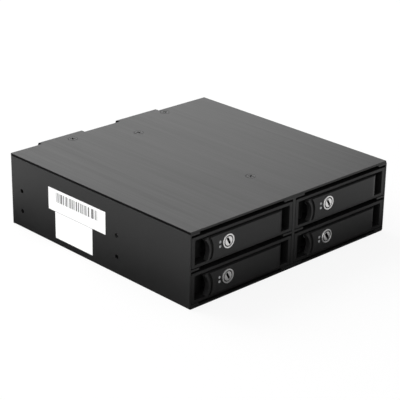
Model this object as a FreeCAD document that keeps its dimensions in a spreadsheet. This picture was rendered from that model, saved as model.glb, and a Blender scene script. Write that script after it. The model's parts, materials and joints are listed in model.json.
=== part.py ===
import FreeCAD, Part
import math
import operator
import os
import Sketcher

# Hot swap drive cage: a folded steel cage for one half-height 5.25 inch bay, with four trays
# for 2.5 inch drives in two columns and two rows, a backplane and two rear fans.
# Own frame: the tray faces look along -Y, +X is right, +Z is up, and the origin is the
# bottom centre of the outer box. Lengths are millimetres. The formulas below count x from
# the left face, y from the front plane and z from the bottom; seat() moves them to the origin.

doc = FreeCAD.newDocument("drive_cage")
sheet = doc.addObject("Spreadsheet::Sheet", "sizes")


# ---------------------------------------------------------------- sizes and formulas

class Size:
    """A length driven by the sheet: its formula for expressions, and its present value."""

    def __init__(self, text, read):
        self.text = text
        self.read = read

    @property
    def value(self):
        return self.read()

    def __add__(self, other):
        return combine(self, "+", other, operator.add)

    def __radd__(self, other):
        return combine(other, "+", self, operator.add)

    def __sub__(self, other):
        return combine(self, "-", other, operator.sub)

    def __rsub__(self, other):
        return combine(other, "-", self, operator.sub)

    def __mul__(self, other):
        return combine(self, "*", other, operator.mul)

    def __rmul__(self, other):
        return combine(other, "*", self, operator.mul)

    def __truediv__(self, other):
        return combine(self, "/", other, operator.truediv)

    def __neg__(self):
        return 0 - self


def as_size(number):
    """A plain number as a Size; a Size as it is."""
    if isinstance(number, Size):
        return number
    return Size(f"({float(number)})", lambda: float(number))


def combine(left, sign, right, work):
    left = as_size(left)
    right = as_size(right)
    return Size(f"({left.text} {sign} {right.text})", lambda: work(left.value, right.value))


def cosine(angle):
    return Size(f"cos({angle.text})", lambda: math.cos(math.radians(angle.value)))


def sine(angle):
    return Size(f"sin({angle.text})", lambda: math.sin(math.radians(angle.value)))


rows_used = []


def cell(alias, number, meaning):
    """One row of the sheet: name, value and meaning. Returns the value as a Size."""
    rows_used.append(alias)
    row = len(rows_used)
    sheet.set(f"A{row}", alias)
    sheet.set(f"B{row}", str(number))
    sheet.set(f"C{row}", meaning)
    sheet.setAlias(f"B{row}", alias)
    return Size(f"sizes.{alias}", lambda: float(sheet.get(alias)))


# Cage: steel base with side walls, aluminium cover and rear panel.
cage_width = cell("cage_width", 146.05, "outside width of the side walls")
cage_height = cell("cage_height", 41.3, "bottom of the base to top of the cover")
cage_depth = cell("cage_depth", 142.0, "front plane to rear edge of the side walls")
sheet_steel = cell("sheet_steel", 1.0, "thickness of base and rear panel")
corner_radius = cell("corner_radius", 1.1, "outer bend between floor and side wall")
cover_thick = cell("cover_thick", 1.2, "thickness of the cover")
cover_inset = cell("cover_inset", 0.4, "cover edge inside the side face")
cover_overhang = cell("cover_overhang", 0.2, "cover edge behind the rear panel")
tab_width = cell("tab_width", 30.4, "width of a folded rear tab")
tab_reach = cell("tab_reach", 4.0, "rear panel to back of a tab")
tab_drop = cell("tab_drop", 4.2, "height of the folded part of a tab")
tab_bend = cell("tab_bend", 1.6, "outer radius of the fold")
tab_corner = cell("tab_corner", 2.0, "rounded lower corner of a tab")
lug_width = cell("lug_width", 8.0, "width of a lug turned up from the floor")
lug_height = cell("lug_height", 8.0, "top of a lug above the bottom")
lug_hole_up = cell("lug_hole_up", 5.0, "screw of a lug above the bottom")

# Side mounting holes of a half-height 5.25 inch device.
side_hole_radius = cell("side_hole_radius", 1.25, "tapped side hole, tap drill radius")
side_hole_rear = cell("side_hole_rear", 8.35, "rear side hole from the rear edge of the wall")
side_hole_pitch = cell("side_hole_pitch", 79.25, "front to rear side hole")
side_hole_low = cell("side_hole_low", 10.0, "lower side hole above the bottom")
side_hole_rise = cell("side_hole_rise", 11.84, "lower to upper side hole")

# Guides.
rail_thick = cell("rail_thick", 1.1, "thickness of a guide rail")
rail_reach = cell("rail_reach", 5.6, "rail edge from the side wall")
divider_thick = cell("divider_thick", 1.95, "web of the centre divider")
divider_reach = cell("divider_reach", 6.55, "rail edge from the divider web")

# Tray.
tray_side_gap = cell("tray_side_gap", 0.275, "tray to bay wall, each side")
tray_gap_below = cell("tray_gap_below", 0.45, "rail to bottom of the bezel")
tray_gap_above = cell("tray_gap_above", 1.15, "top of the bezel to next rail")
slide_gap = cell("slide_gap", 0.1, "rail to carriage")
bezel_depth = cell("bezel_depth", 11.0, "front to back of the bezel")
bezel_back = cell("bezel_back", 2.0, "back wall of the bezel")
bezel_rim_side = cell("bezel_rim_side", 2.1, "left and right rim of the bezel")
bezel_rim_flat = cell("bezel_rim_flat", 1.6, "top and bottom rim of the bezel")
bezel_corner = cell("bezel_corner", 0.8, "outer corner radius of the bezel")
finger_pocket = cell("finger_pocket", 9.0, "width of the shallow finger pocket")
finger_depth = cell("finger_depth", 5.5, "depth of the finger pocket")
vent_first = cell("vent_first", 31.0, "left edge of the first vent slot")
vent_width = cell("vent_width", 2.6, "vent slot width")
vent_pitch = cell("vent_pitch", 4.3, "vent slot pitch")
vent_margin = cell("vent_margin", 1.5, "recess edge to end of a vent slot")
tray_sheet = cell("tray_sheet", 1.0, "thickness of the carriage")
carriage_gap = cell("carriage_gap", 0.9, "carriage to drive socket")
runner_width = cell("runner_width", 8.0, "raised edge strip of the carriage")
ear_height = cell("ear_height", 12.0, "front ear above the bottom of the bezel")
ear_inset = cell("ear_inset", 3.0, "ear from the side of the tray")
ear_width = cell("ear_width", 7.5, "front ear width")
peg_radius = cell("peg_radius", 1.5, "moulded peg through the ear")
peg_up = cell("peg_up", 6.5, "peg above the bottom of the bezel")
peg_length = cell("peg_length", 1.2, "peg, front to back")
window_margin = cell("window_margin", 9.0, "carriage end or edge strip to an air window")
window_bar = cell("window_bar", 6.0, "bar between the two air windows")
fit_gap = cell("fit_gap", 0.05, "radial clearance of a running fit")

# 2.5 inch drive that the tray takes.
drive_side_gap = cell("drive_side_gap", 0.325, "69.85 mm wide drive to the side of the tray")
drive_hole_pitch = cell("drive_hole_pitch", 76.6, "bottom screw holes, front to rear")
drive_hole_rear = cell("drive_hole_rear", 14.0, "rear screw hole from the connector end")
drive_hole_edge = cell("drive_hole_edge", 4.07, "screw hole from the side of the drive")
drive_mating = cell("drive_mating", 3.5, "drive end past the face of the socket")
screw_hole_radius = cell("screw_hole_radius", 1.7, "clearance hole for an M3 screw")

# Lever, with its hinge pin at the right.
lever_proud = cell("lever_proud", 1.5, "lever face in front of the bezel")
lever_thick = cell("lever_thick", 3.0, "lever bar, front to back")
lever_gap = cell("lever_gap", 0.65, "lever to the rims above and below")
pin_from_right = cell("pin_from_right", 11.5, "hinge pin from the right of the bezel")
pin_behind = cell("pin_behind", 3.6, "hinge pin behind the front plane")
pin_radius = cell("pin_radius", 1.0, "hinge pin radius")
pin_inset = cell("pin_inset", 0.3, "pin end below the outside of the rim")
knuckle_back = cell("knuckle_back", 2.8, "pin axis to back of the knuckle")
knuckle_half = cell("knuckle_half", 3.2, "pin axis to side of the knuckle's back")
knuckle_root = cell("knuckle_root", 8.0, "pin axis to where the knuckle joins the bar")
scoop_across = cell("scoop_across", 1.9, "centre of the finger scoop, across")
scoop_drop = cell("scoop_drop", 0.95, "centre of the finger scoop below mid-height")
scoop_radius = cell("scoop_radius", 8.6, "radius of the finger scoop")
lip_width = cell("lip_width", 1.2, "raised lip beside the scoop")
groove_width = cell("groove_width", 1.6, "groove beside the lip")
groove_depth = cell("groove_depth", 1.2, "depth of the groove")
shell_wall = cell("shell_wall", 1.4, "lever wall around its hollow back")
shell_gap = cell("shell_gap", 2.5, "lock to the hollow back of the lever")

# Lock in the lever.
lock_across = cell("lock_across", 23.1, "lock centre from the left of the bezel")
lock_rise = cell("lock_rise", 0.85, "lock centre above mid-height")
lock_radius = cell("lock_radius", 3.8, "radius of the lock cylinder")
lock_proud = cell("lock_proud", 0.5, "cylinder in front of the lever")
lock_behind = cell("lock_behind", 7.6, "cylinder end behind the front plane")
shaft_radius = cell("shaft_radius", 1.6, "shaft between cylinder and cam")
cam_reach = cell("cam_reach", 6.0, "lock axis to end of the cam")
cam_thick = cell("cam_thick", 1.2, "cam thickness")
cam_gap = cell("cam_gap", 0.3, "cam to the back wall and slot")
cam_swing = cell("cam_swing", 1.3, "room at the left of the cam for the lever's arc")
keyway_length = cell("keyway_length", 4.4, "keyway, end to end")
keyway_width = cell("keyway_width", 1.3, "keyway width")
keyway_depth = cell("keyway_depth", 2.5, "keyway depth")
keyway_tilt = cell("keyway_tilt", 30.0, "keyway turned from upright, in degrees")

# Indicator lights.
lens_across = cell("lens_across", 17.7, "lens centre from the left of the bezel")
lens_drop = cell("lens_drop", 1.6, "lower lens below the lock centre")
lens_pitch = cell("lens_pitch", 2.4, "lower to upper lens")
lens_radius = cell("lens_radius", 0.75, "lens radius")
pipe_width = cell("pipe_width", 1.6, "light pipe, across")
pipe_thick = cell("pipe_thick", 0.8, "light pipe, strip thickness")
pipe_gap = cell("pipe_gap", 0.5, "lever to the light pipe's end")
pipe_leg = cell("pipe_leg", 1.6, "upright leg of the light pipe, front to back")

# Backplane and its connectors.
board_inset = cell("board_inset", 24.0, "front of the board to the rear edge of the walls")
board_thick = cell("board_thick", 1.6, "board thickness")
board_side_gap = cell("board_side_gap", 0.5, "board to side wall")
board_top_gap = cell("board_top_gap", 0.3, "board to the top rail")
board_window_gap = cell("board_window_gap", 0.9, "socket to the air window above it")
board_window_top = cell("board_window_top", 0.75, "air window below the top of the bezel")
socket_width = cell("socket_width", 39.0, "drive socket, across")
socket_height = cell("socket_height", 6.0, "drive socket, up")
socket_length = cell("socket_length", 7.6, "drive socket, front to back")
socket_across = cell("socket_across", 4.0, "socket from the left of the tray")
socket_up = cell("socket_up", 2.2, "socket above the bottom of the bezel")
slot_depth = cell("slot_depth", 5.0, "depth of the contact slots")
slot_height = cell("slot_height", 1.9, "height of the contact slots")
data_slot = cell("data_slot", 10.6, "length of the 7-contact slot")
power_slot = cell("power_slot", 20.9, "length of the 15-contact slot")
port_length = cell("port_length", 8.0, "rear connector, front to back")
port_width = cell("port_width", 5.0, "data port, across")
port_room = cell("port_room", 3.5, "free height between data ports")
port_pitch = cell("port_pitch", 9.0, "left to right data ports")
port_rise = cell("port_rise", 1.0, "data port above the middle of its row")
inlet_width = cell("inlet_width", 25.5, "power inlet, across")
inlet_height = cell("inlet_height", 6.0, "power inlet, up")
inlet_side_gap = cell("inlet_side_gap", 1.3, "power inlet to the right wall")
inlet_low = cell("inlet_low", 14.0, "centre of the lower power inlet")
inlet_pitch = cell("inlet_pitch", 15.0, "lower to upper power inlet")
connector_wall = cell("connector_wall", 0.9, "shroud wall of a rear connector")
tongue_thick = cell("tongue_thick", 1.2, "contact tongue of a rear connector")

# Rear panel and fans.
flange_reach = cell("flange_reach", 8.0, "top flange of the rear panel, forwards")
opening_margin = cell("opening_margin", 1.5, "cable opening to the fan beside it")
opening_low = cell("opening_low", 10.0, "cable opening above the bottom")
opening_top_gap = cell("opening_top_gap", 3.0, "cable opening to the top flange")
fan_room = cell("fan_room", 3.1, "free height above and below the fan frame")
fan_thick = cell("fan_thick", 10.0, "fan frame, front to back")
fan_corner = cell("fan_corner", 3.0, "corner radius of the fan frame")
fan_wall = cell("fan_wall", 1.0, "thinnest wall round the fan's air passage")
fan_hole_inset = cell("fan_hole_inset", 3.0, "fan screw from the edges of the frame")
fan_offset = cell("fan_offset", 0.5, "left fan right of the middle of its bay")
fan_gap = cell("fan_gap", 1.8, "right fan right of the divider's web")
fan_hub = cell("fan_hub", 7.0, "radius of the motor hub")
strut_thick = cell("strut_thick", 1.5, "motor struts, front to back")
strut_width = cell("strut_width", 2.0, "motor struts, width")
rotor_gap = cell("rotor_gap", 0.5, "rotor to the frame")
blade_tilt_root = cell("blade_tilt_root", 50.0, "blade at the hub, degrees from the fan's plane")
blade_tilt_tip = cell("blade_tilt_tip", 32.0, "blade at its tip, degrees from the fan's plane")
blade_chord = cell("blade_chord", 8.0, "blade width")
blade_thick = cell("blade_thick", 0.9, "blade thickness")
grille_spoke = cell("grille_spoke", 2.0, "spoke width of the punched grille")
grille_ring = cell("grille_ring", 1.4, "ring width of the punched grille")
grille_hub = cell("grille_hub", 4.0, "radius of the grille's middle")

# Screws.
screw_radius = cell("screw_radius", 1.4, "M3 screw shank")
fan_screw_bite = cell("fan_screw_bite", 5.0, "fan screw into the fan frame")
flat_head_radius = cell("flat_head_radius", 2.8, "countersunk head")
pan_head_radius = cell("pan_head_radius", 2.7, "pan head")
pan_head_height = cell("pan_head_height", 1.5, "pan head height")
cover_screw_left = cell("cover_screw_left", 39.8, "rear left cover screw, across")
cover_screw_right = cell("cover_screw_right", 36.95, "rear right cover screw from the right side")
cover_screw_rear = cell("cover_screw_rear", 3.5, "rear cover screws from the rear edge")
cover_screw_middle = cell("cover_screw_middle", 1.275, "middle cover screws right of the divider's middle")
cover_screw_front = cell("cover_screw_front", 32.8, "front middle cover screw")
cover_screw_back = cell("cover_screw_back", 20.0, "rear middle cover screw from the rear edge")

# Counts.
VENTS = 6
GRILLE_RINGS = 3
STRUTS = 4
BLADES = 7

doc.recompute()

# Places that several pieces share.
inner_width = cage_width - 2 * sheet_steel
bay_width = (inner_width - divider_thick) / 2
bay_pitch = bay_width + divider_thick
cover_bottom = cage_height - cover_thick
row_pitch = (cover_bottom - sheet_steel - rail_thick) / 2
divider_left = sheet_steel + bay_width
rear_face = cage_depth + sheet_steel
front_to_origin = (rear_face + tab_reach - lever_proud - lock_proud) / 2

bezel_width = bay_width - 2 * tray_side_gap
bezel_height = row_pitch - rail_thick - tray_gap_below - tray_gap_above
recess_depth = bezel_depth - bezel_back
pin_across = bezel_width - pin_from_right
lock_up = bezel_height / 2 + lock_rise
lens_low = lock_up - lens_drop
scoop_up = bezel_height / 2 - scoop_drop
lever_low = bezel_rim_flat + lever_gap
lever_height = bezel_height - 2 * lever_low
lever_back = lever_thick - lever_proud
cam_front = bezel_depth + cam_gap
runner_low = slide_gap - tray_gap_below
runner_top = runner_low + tray_sheet
board_front = cage_depth - board_inset
socket_front = board_front - socket_length
carriage_end = socket_front - carriage_gap
drive_end = socket_front + drive_mating
board_back = board_front + board_thick
board_top = sheet_steel + 2 * row_pitch - board_top_gap
side_hole_front = cage_depth - side_hole_rear - side_hole_pitch
fan_up = (sheet_steel + cover_bottom) / 2
fan_front = cage_depth - fan_thick
fan_size = cover_bottom - 2 * sheet_steel - fan_room
fan_bore = fan_size / 2 - fan_wall
fan_hole_pitch = fan_size - 2 * fan_hole_inset
left_fan = sheet_steel + bay_width / 2 + fan_offset
right_fan = divider_left + divider_thick + fan_gap + fan_size / 2
fan_centres = [left_fan, right_fan]
between_fans = (left_fan + right_fan) / 2
tab_lefts = [centre - tab_width / 2 for centre in fan_centres]
port_across = between_fans - port_pitch / 2
port_low = sheet_steel + row_pitch / 2 + port_rise
port_height = row_pitch - port_room
inlet_across = cage_width - sheet_steel - inlet_side_gap - inlet_width / 2
rear_lugs = [left_fan - fan_size / 2 - lug_width, between_fans, inlet_across]
socket_right = sheet_steel + tray_side_gap + socket_across + socket_width
port_left = port_across - port_width / 2
board_lugs = [(socket_right + port_left) / 2, inlet_across]


# ---------------------------------------------------------------- modelling helpers

def bind(thing, name, size):
    """Drive one property of an object by a formula of the sheet."""
    thing.setExpression(name, as_size(size).text)


PLANES = {"top": ("XY_Plane", 1), "front": ("XZ_Plane", -1), "side": ("YZ_Plane", 1)}


class Drawing:
    """A fully constrained sketch on a plane across +Z (top), +Y (front) or +X (side)."""

    def __init__(self, body, name, plane, level, across=0, up=0):
        role, sign = PLANES[plane]
        origin_plane = next(item for item in body.Origin.OriginFeatures if item.Role == role)
        self.sketch = body.newObject("Sketcher::SketchObject", name)
        self.sketch.AttachmentSupport = [(origin_plane, "")]
        self.sketch.MapMode = "FlatFace"
        bind(self.sketch, "AttachmentOffset.Base.x", across)
        bind(self.sketch, "AttachmentOffset.Base.y", up)
        bind(self.sketch, "AttachmentOffset.Base.z", as_size(level) * sign)

    def fix(self, kind, references, size):
        size = as_size(size)
        constraint = Sketcher.Constraint(kind, *references, size.value)
        index = self.sketch.addConstraint(constraint)
        bind(self.sketch, f"Constraints[{index}]", size)

    def pin_down(self, edge, vertex, across, up):
        """Place one point of an edge; None leaves that direction free."""
        if across is not None:
            self.fix("DistanceX", (-1, 1, edge, vertex), across)
        if up is not None:
            self.fix("DistanceY", (-1, 1, edge, vertex), up)

    def circle(self, across, up, radius):
        centre = FreeCAD.Vector(as_size(across).value, as_size(up).value, 0)
        normal = FreeCAD.Vector(0, 0, 1)
        edge = self.sketch.addGeometry(Part.Circle(centre, normal, as_size(radius).value))
        self.pin_down(edge, 3, across, up)
        self.fix("Radius", (edge,), radius)

    def outline(self, steps):
        """A closed outline. A step (x, y) is a line to x, y, and (x, y, cx, cy, turn) an arc to
        x, y about cx, cy that turns +1 (anticlockwise) or -1. Every arc follows a line."""
        points = [FreeCAD.Vector(as_size(s[0]).value, as_size(s[1]).value, 0) for s in steps]
        edges = []
        for number, step in enumerate(steps):
            start = points[number - 1]
            end = points[number]
            if len(step) == 2:
                edges.append((self.sketch.addGeometry(Part.LineSegment(start, end)), 1, 2))
            else:
                edges.append(self.arc(start, end, step))
        for number in range(len(steps)):
            here, _, finish = edges[number]
            following = edges[(number + 1) % len(steps)]
            joint = Sketcher.Constraint("Coincident", here, finish, following[0], following[1])
            self.sketch.addConstraint(joint)
        for number, step in enumerate(steps):
            edge, _, finish = edges[number]
            if len(step) == 2:
                self.pin_down(edge, finish, step[0], step[1])
                continue
            self.pin_down(edge, 3, step[2], step[3])
            centre = self.sketch.Geometry[edge].Center
            reach = points[number] - centre
            if abs(reach.x) > abs(reach.y):
                self.pin_down(edge, finish, None, step[1])
            else:
                self.pin_down(edge, finish, step[0], None)

    def arc(self, start, end, step):
        centre = FreeCAD.Vector(as_size(step[2]).value, as_size(step[3]).value, 0)
        first = math.atan2(start.y - centre.y, start.x - centre.x)
        last = math.atan2(end.y - centre.y, end.x - centre.x)
        if step[4] < 0:
            first, last = last, first
        full = Part.Circle(centre, FreeCAD.Vector(0, 0, 1), (start - centre).Length)
        edge = self.sketch.addGeometry(Part.ArcOfCircle(full, first, last))
        return (edge, 1, 2) if step[4] > 0 else (edge, 2, 1)


def rectangle(left, bottom, right, top):
    corners = [(left, bottom), (right, bottom), (right, top), (left, top)]
    return lambda drawing: drawing.outline(corners)


def polygon(*corners):
    return lambda drawing: drawing.outline(corners)


def circle(across, up, radius):
    return lambda drawing: drawing.circle(across, up, radius)


pieces = {}


class Piece:
    """One sub-part as a PartDesign body. Extrusions run from level along +X, +Y or +Z."""

    def __init__(self, name):
        self.name = name
        self.body = doc.addObject("PartDesign::Body", name)
        self.body.Label = name
        pieces[name] = self.body

    def draw(self, name, plane, level, shapes, across=0, up=0):
        drawing = Drawing(self.body, f"{self.name}_{name}_sketch", plane, level, across, up)
        for shape in shapes:
            shape(drawing)
        return drawing.sketch

    def extrude(self, kind, name, plane, level, length, shapes, reverse, **shift):
        sketch = self.draw(name, plane, level, shapes, **shift)
        feature = self.body.newObject(f"PartDesign::{kind}", f"{self.name}_{name}")
        feature.Profile = sketch
        feature.Reversed = reverse
        bind(feature, "Length", length)
        sketch.Visibility = False
        return feature

    def pad(self, name, plane, level, length, *shapes, **shift):
        reverse = plane == "front"
        return self.extrude("Pad", name, plane, level, length, shapes, reverse, **shift)

    def cut(self, name, plane, level, length, *shapes, **shift):
        reverse = plane != "front"
        return self.extrude("Pocket", name, plane, level, length, shapes, reverse, **shift)

    def around(self, name, feature, count):
        """Repeat a feature about the axis of its sketch."""
        pattern = self.body.newObject("PartDesign::PolarPattern", f"{self.name}_{name}")
        pattern.Originals = [feature]
        pattern.Axis = (feature.Profile[0], ["N_Axis"])
        pattern.Angle = 360
        pattern.Occurrences = count
        self.body.Tip = pattern
        return pattern

    def along(self, name, feature, pitch, count):
        """Repeat a feature along the sketch's own x direction."""
        pattern = self.body.newObject("PartDesign::LinearPattern", f"{self.name}_{name}")
        pattern.Originals = [feature]
        pattern.Direction = (feature.Profile[0], ["H_Axis"])
        bind(pattern, "Length", pitch * (count - 1))
        pattern.Occurrences = count
        self.body.Tip = pattern
        return pattern

    def round_edges(self, name, radius, choose, kind="Fillet"):
        """Fillet or chamfer the edges that choose(edge) picks."""
        doc.recompute()
        base = self.body.Tip
        numbered = enumerate(base.Shape.Edges, start=1)
        names = [f"Edge{number}" for number, edge in numbered if choose(edge)]
        feature = self.body.newObject(f"PartDesign::{kind}", f"{self.name}_{name}")
        feature.Base = (base, names)
        bind(feature, "Radius" if kind == "Fillet" else "Size", radius)
        self.body.Tip = feature
        return feature

    def seat(self, across=0, deep=0, up=0):
        seat(self.body, across, deep, up)


def seat(thing, across=0, deep=0, up=0):
    """Place a sub-part, counted from the left face, the front plane and the bottom."""
    bind(thing, "Placement.Base.x", across - cage_width / 2)
    bind(thing, "Placement.Base.y", deep - front_to_origin)
    bind(thing, "Placement.Base.z", up)


def copy_piece(master, name):
    """Another body with the same shape as the master's."""
    body = doc.addObject("PartDesign::Body", name)
    body.Label = name
    body.BaseFeature = master.body
    pieces[name] = body
    return body


def runs_along(edge, axis):
    """True for a straight edge along an axis."""
    if not isinstance(edge.Curve, Part.Line):
        return False
    return abs(abs(edge.Curve.Direction.dot(axis)) - 1) < 1e-6


def near(value, *targets):
    return any(abs(value - as_size(target).value) < 1e-3 for target in targets)


X_AXIS = FreeCAD.Vector(1, 0, 0)
Y_AXIS = FreeCAD.Vector(0, 1, 0)
Z_AXIS = FreeCAD.Vector(0, 0, 1)


def screw(name, along_y, head, length, across, deep, up):
    """A screw whose head's outer face is at the given place. It points along +Y or -Y when
    along_y is 1 or -1, and down when along_y is 0. Head is "flat" or "pan"."""
    turn = FreeCAD.Rotation(X_AXIS, 180 if along_y == 0 else -90 * along_y)
    if head == "flat":
        top = doc.addObject("Part::Cone", f"{name}_head")
        bind(top, "Radius1", flat_head_radius)
        bind(top, "Radius2", screw_radius)
        bind(top, "Height", cover_thick)
    else:
        top = doc.addObject("Part::Cylinder", f"{name}_head")
        bind(top, "Radius", pan_head_radius)
        bind(top, "Height", pan_head_height)
    shank = doc.addObject("Part::Cylinder", f"{name}_shank")
    bind(shank, "Radius", screw_radius)
    bind(shank, "Height", length)
    for solid in (top, shank):
        solid.Placement = FreeCAD.Placement(FreeCAD.Vector(), turn)
        bind(solid, "Placement.Base.x", across)
        bind(solid, "Placement.Base.y", deep)
        bind(solid, "Placement.Base.z", up)
    whole = doc.addObject("Part::Fuse", name)
    whole.Base = top
    whole.Tool = shank
    return whole


def screw_group(name, screws):
    """Identical screws as one node of separate solids."""
    group = doc.addObject("Part::Compound", name)
    group.Label = name
    group.Links = screws
    pieces[name] = group
    seat(group)


# ---------------------------------------------------------------- cage

def make_base():
    """Floor and side walls folded from one sheet, with lugs turned up from the floor."""
    base = Piece("chassis_base")
    section = polygon(
        (0, 0), (cage_width, 0), (cage_width, cover_bottom),
        (cage_width - sheet_steel, cover_bottom), (cage_width - sheet_steel, sheet_steel),
        (sheet_steel, sheet_steel), (sheet_steel, cover_bottom), (0, cover_bottom))
    base.pad("section", "front", 0, cage_depth, section)
    for place, lefts in (("rear", rear_lugs), ("board", board_lugs)):
        front = cage_depth - sheet_steel if place == "rear" else board_back
        lugs = [rectangle(x - lug_width / 2, 0, x + lug_width / 2, lug_height) for x in lefts]
        base.pad(f"{place}_lugs", "front", front, sheet_steel, *lugs)
        holes = [circle(x, lug_hole_up, screw_radius) for x in lefts]
        base.cut(f"{place}_lug_holes", "front", front, sheet_steel, *holes)
    holes = []
    for row in range(2):
        for column in range(2):
            deep = side_hole_front + column * side_hole_pitch
            holes.append(circle(deep, side_hole_low + row * side_hole_rise, side_hole_radius))
    base.cut("side_holes", "side", 0, cage_width, *holes)

    def outer_bend(edge):
        middle = edge.CenterOfMass
        return runs_along(edge, Y_AXIS) and near(middle.z, 0) and near(middle.x, 0, cage_width)

    base.round_edges("bends", corner_radius, outer_bend)
    base.seat()


def make_cover():
    """Aluminium plate with two tabs folded down behind the rear panel."""
    cover = Piece("top_cover")
    plate_rear = rear_face + cover_overhang
    plate = rectangle(cover_inset, 0, cage_width - cover_inset, plate_rear)
    cover.pad("plate", "top", cover_bottom, cover_thick, plate)
    back = rear_face + tab_reach
    low = cage_height - tab_drop
    fold = [
        (cage_depth, cover_bottom),
        (back - tab_bend, cover_bottom),
        (back - cover_thick, cage_height - tab_bend, back - tab_bend, cage_height - tab_bend, -1),
        (back - cover_thick, low),
        (back, low),
        (back, cage_height - tab_bend),
        (back - tab_bend, cage_height, back - tab_bend, cage_height - tab_bend, 1),
        (cage_depth, cage_height)]
    for number, left in enumerate(tab_lefts, start=1):
        cover.pad(f"tab_{number}", "side", left, tab_width, polygon(*fold))
    places = cover_screw_places()
    holes = [circle(x, y, flat_head_radius) for x, y in places]
    for number, (x, y) in enumerate(places, start=1):
        sink = cover.draw(
            f"countersink_{number}", "front", y,
            [polygon((0, cover_bottom), (screw_radius, cover_bottom),
                     (flat_head_radius, cage_height), (0, cage_height))],
            across=x)
        groove = cover.body.newObject("PartDesign::Groove", f"top_cover_sink_{number}")
        groove.Profile = sink
        groove.ReferenceAxis = (sink, ["V_Axis"])
        groove.Angle = 360

    def tab_corner_edge(edge):
        middle = edge.CenterOfMass
        return runs_along(edge, Y_AXIS) and near(middle.z, low)

    cover.round_edges("tab_corners", tab_corner, tab_corner_edge)
    cover.seat()


def cover_screw_places():
    rear = cage_depth - cover_screw_rear
    middle = divider_left + divider_thick / 2 + cover_screw_middle
    return [(cover_screw_left, rear), (cage_width - cover_screw_right, rear),
            (middle, cover_screw_front), (middle, cage_depth - cover_screw_back)]


def make_guides():
    """Three rails on each side wall, and the divider with rails on both its sides."""
    for side, left in (("left", sheet_steel), ("right", cage_width - sheet_steel - rail_reach)):
        rails = Piece(f"guide_rails_{side}")
        levels = [sheet_steel + row * row_pitch for row in range(3)]
        strips = [rectangle(left, z, left + rail_reach, z + rail_thick) for z in levels]
        rails.pad("strips", "front", 0, board_front, *strips)
        rails.seat()
    divider = Piece("centre_divider")
    right = divider_left + divider_thick
    outer_left = divider_left - divider_reach
    outer_right = right + divider_reach
    levels = [sheet_steel, sheet_steel + row_pitch, sheet_steel + 2 * row_pitch]
    left_side = []
    right_side = []
    for z in levels:
        top = z + rail_thick
        left_side += [(divider_left, z), (outer_left, z), (outer_left, top), (divider_left, top)]
        right_side += [(right, z), (outer_right, z), (outer_right, top), (right, top)]
    section = right_side[1:-1] + left_side[::-1][1:-1]
    divider.pad("section", "front", 0, board_front, polygon(*section))
    tongue = rectangle(outer_left, levels[2], outer_right, levels[2] + rail_thick)
    tongue_end = cage_depth - cover_screw_back + 2 * pan_head_radius
    divider.pad("top_tongue", "front", board_front, tongue_end - board_front, tongue)
    holes = [circle(x, y, screw_radius) for x, y in cover_screw_places()[2:]]
    divider.cut("screw_holes", "top", levels[2], rail_thick, *holes)
    divider.seat()


# ---------------------------------------------------------------- rear panel and fans

def make_rear_panel():
    """Rear plate with two punched fan grilles, two cable openings and a top flange."""
    panel = Piece("rear_panel")
    outline = rectangle(cover_inset, 0, cage_width - cover_inset, cover_bottom)
    panel.pad("plate", "front", cage_depth, sheet_steel, outline)
    flange = rectangle(
        sheet_steel + board_side_gap, cover_bottom - sheet_steel,
        cage_width - sheet_steel - board_side_gap, cover_bottom)
    panel.pad("top_flange", "front", cage_depth - flange_reach, flange_reach, flange)
    top = cover_bottom - sheet_steel - opening_top_gap
    half_fan = fan_size / 2
    middle_left = fan_centres[0] + half_fan + opening_margin
    middle_right = fan_centres[1] - half_fan - opening_margin
    far_left = fan_centres[1] + half_fan + opening_margin
    far_right = cage_width - sheet_steel - opening_margin
    panel.cut(
        "cable_openings", "front", cage_depth, sheet_steel,
        rectangle(middle_left, opening_low, middle_right, top),
        rectangle(far_left, opening_low, far_right, top))
    holes = [circle(x, lug_hole_up, screw_radius) for x in rear_lugs]
    half_pitch = fan_hole_pitch / 2
    for centre in fan_centres:
        for across in (centre - half_pitch, centre + half_pitch):
            for up in (fan_up - half_pitch, fan_up + half_pitch):
                holes.append(circle(across, up, screw_radius))
    panel.cut("screw_holes", "front", cage_depth, sheet_steel, *holes)
    flange_holes = [circle(x, y, screw_radius) for x, y in cover_screw_places()[:2]]
    panel.cut("flange_holes", "top", cover_bottom - sheet_steel, sheet_steel, *flange_holes)
    band = (fan_bore - grille_hub - (GRILLE_RINGS - 1) * grille_ring) / GRILLE_RINGS
    for number, centre in enumerate(fan_centres, start=1):
        quarter_slots = []
        for ring in range(GRILLE_RINGS):
            inner = grille_hub + ring * (band + grille_ring)
            quarter_slots.append(quarter_slot(inner, inner + band, grille_spoke / 2))
        quarter = panel.cut(
            f"grille_{number}_quarter", "front", cage_depth, sheet_steel, *quarter_slots,
            across=centre, up=fan_up)
        panel.around(f"grille_{number}", quarter, 4)
    panel.seat()


def quarter_slot(inner, outer, half_spoke):
    """An arc-shaped slot that fills one quarter between two spokes."""
    def along_circle(radius):
        value = f"sqrt({radius.text} * {radius.text} - {half_spoke.text} * {half_spoke.text})"
        return Size(value, lambda: math.sqrt(radius.value ** 2 - half_spoke.value ** 2))

    inner_far = along_circle(inner)
    outer_far = along_circle(outer)
    return polygon(
        (inner_far, half_spoke, 0, 0, -1),
        (outer_far, half_spoke),
        (half_spoke, outer_far, 0, 0, 1),
        (half_spoke, inner_far))


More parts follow.
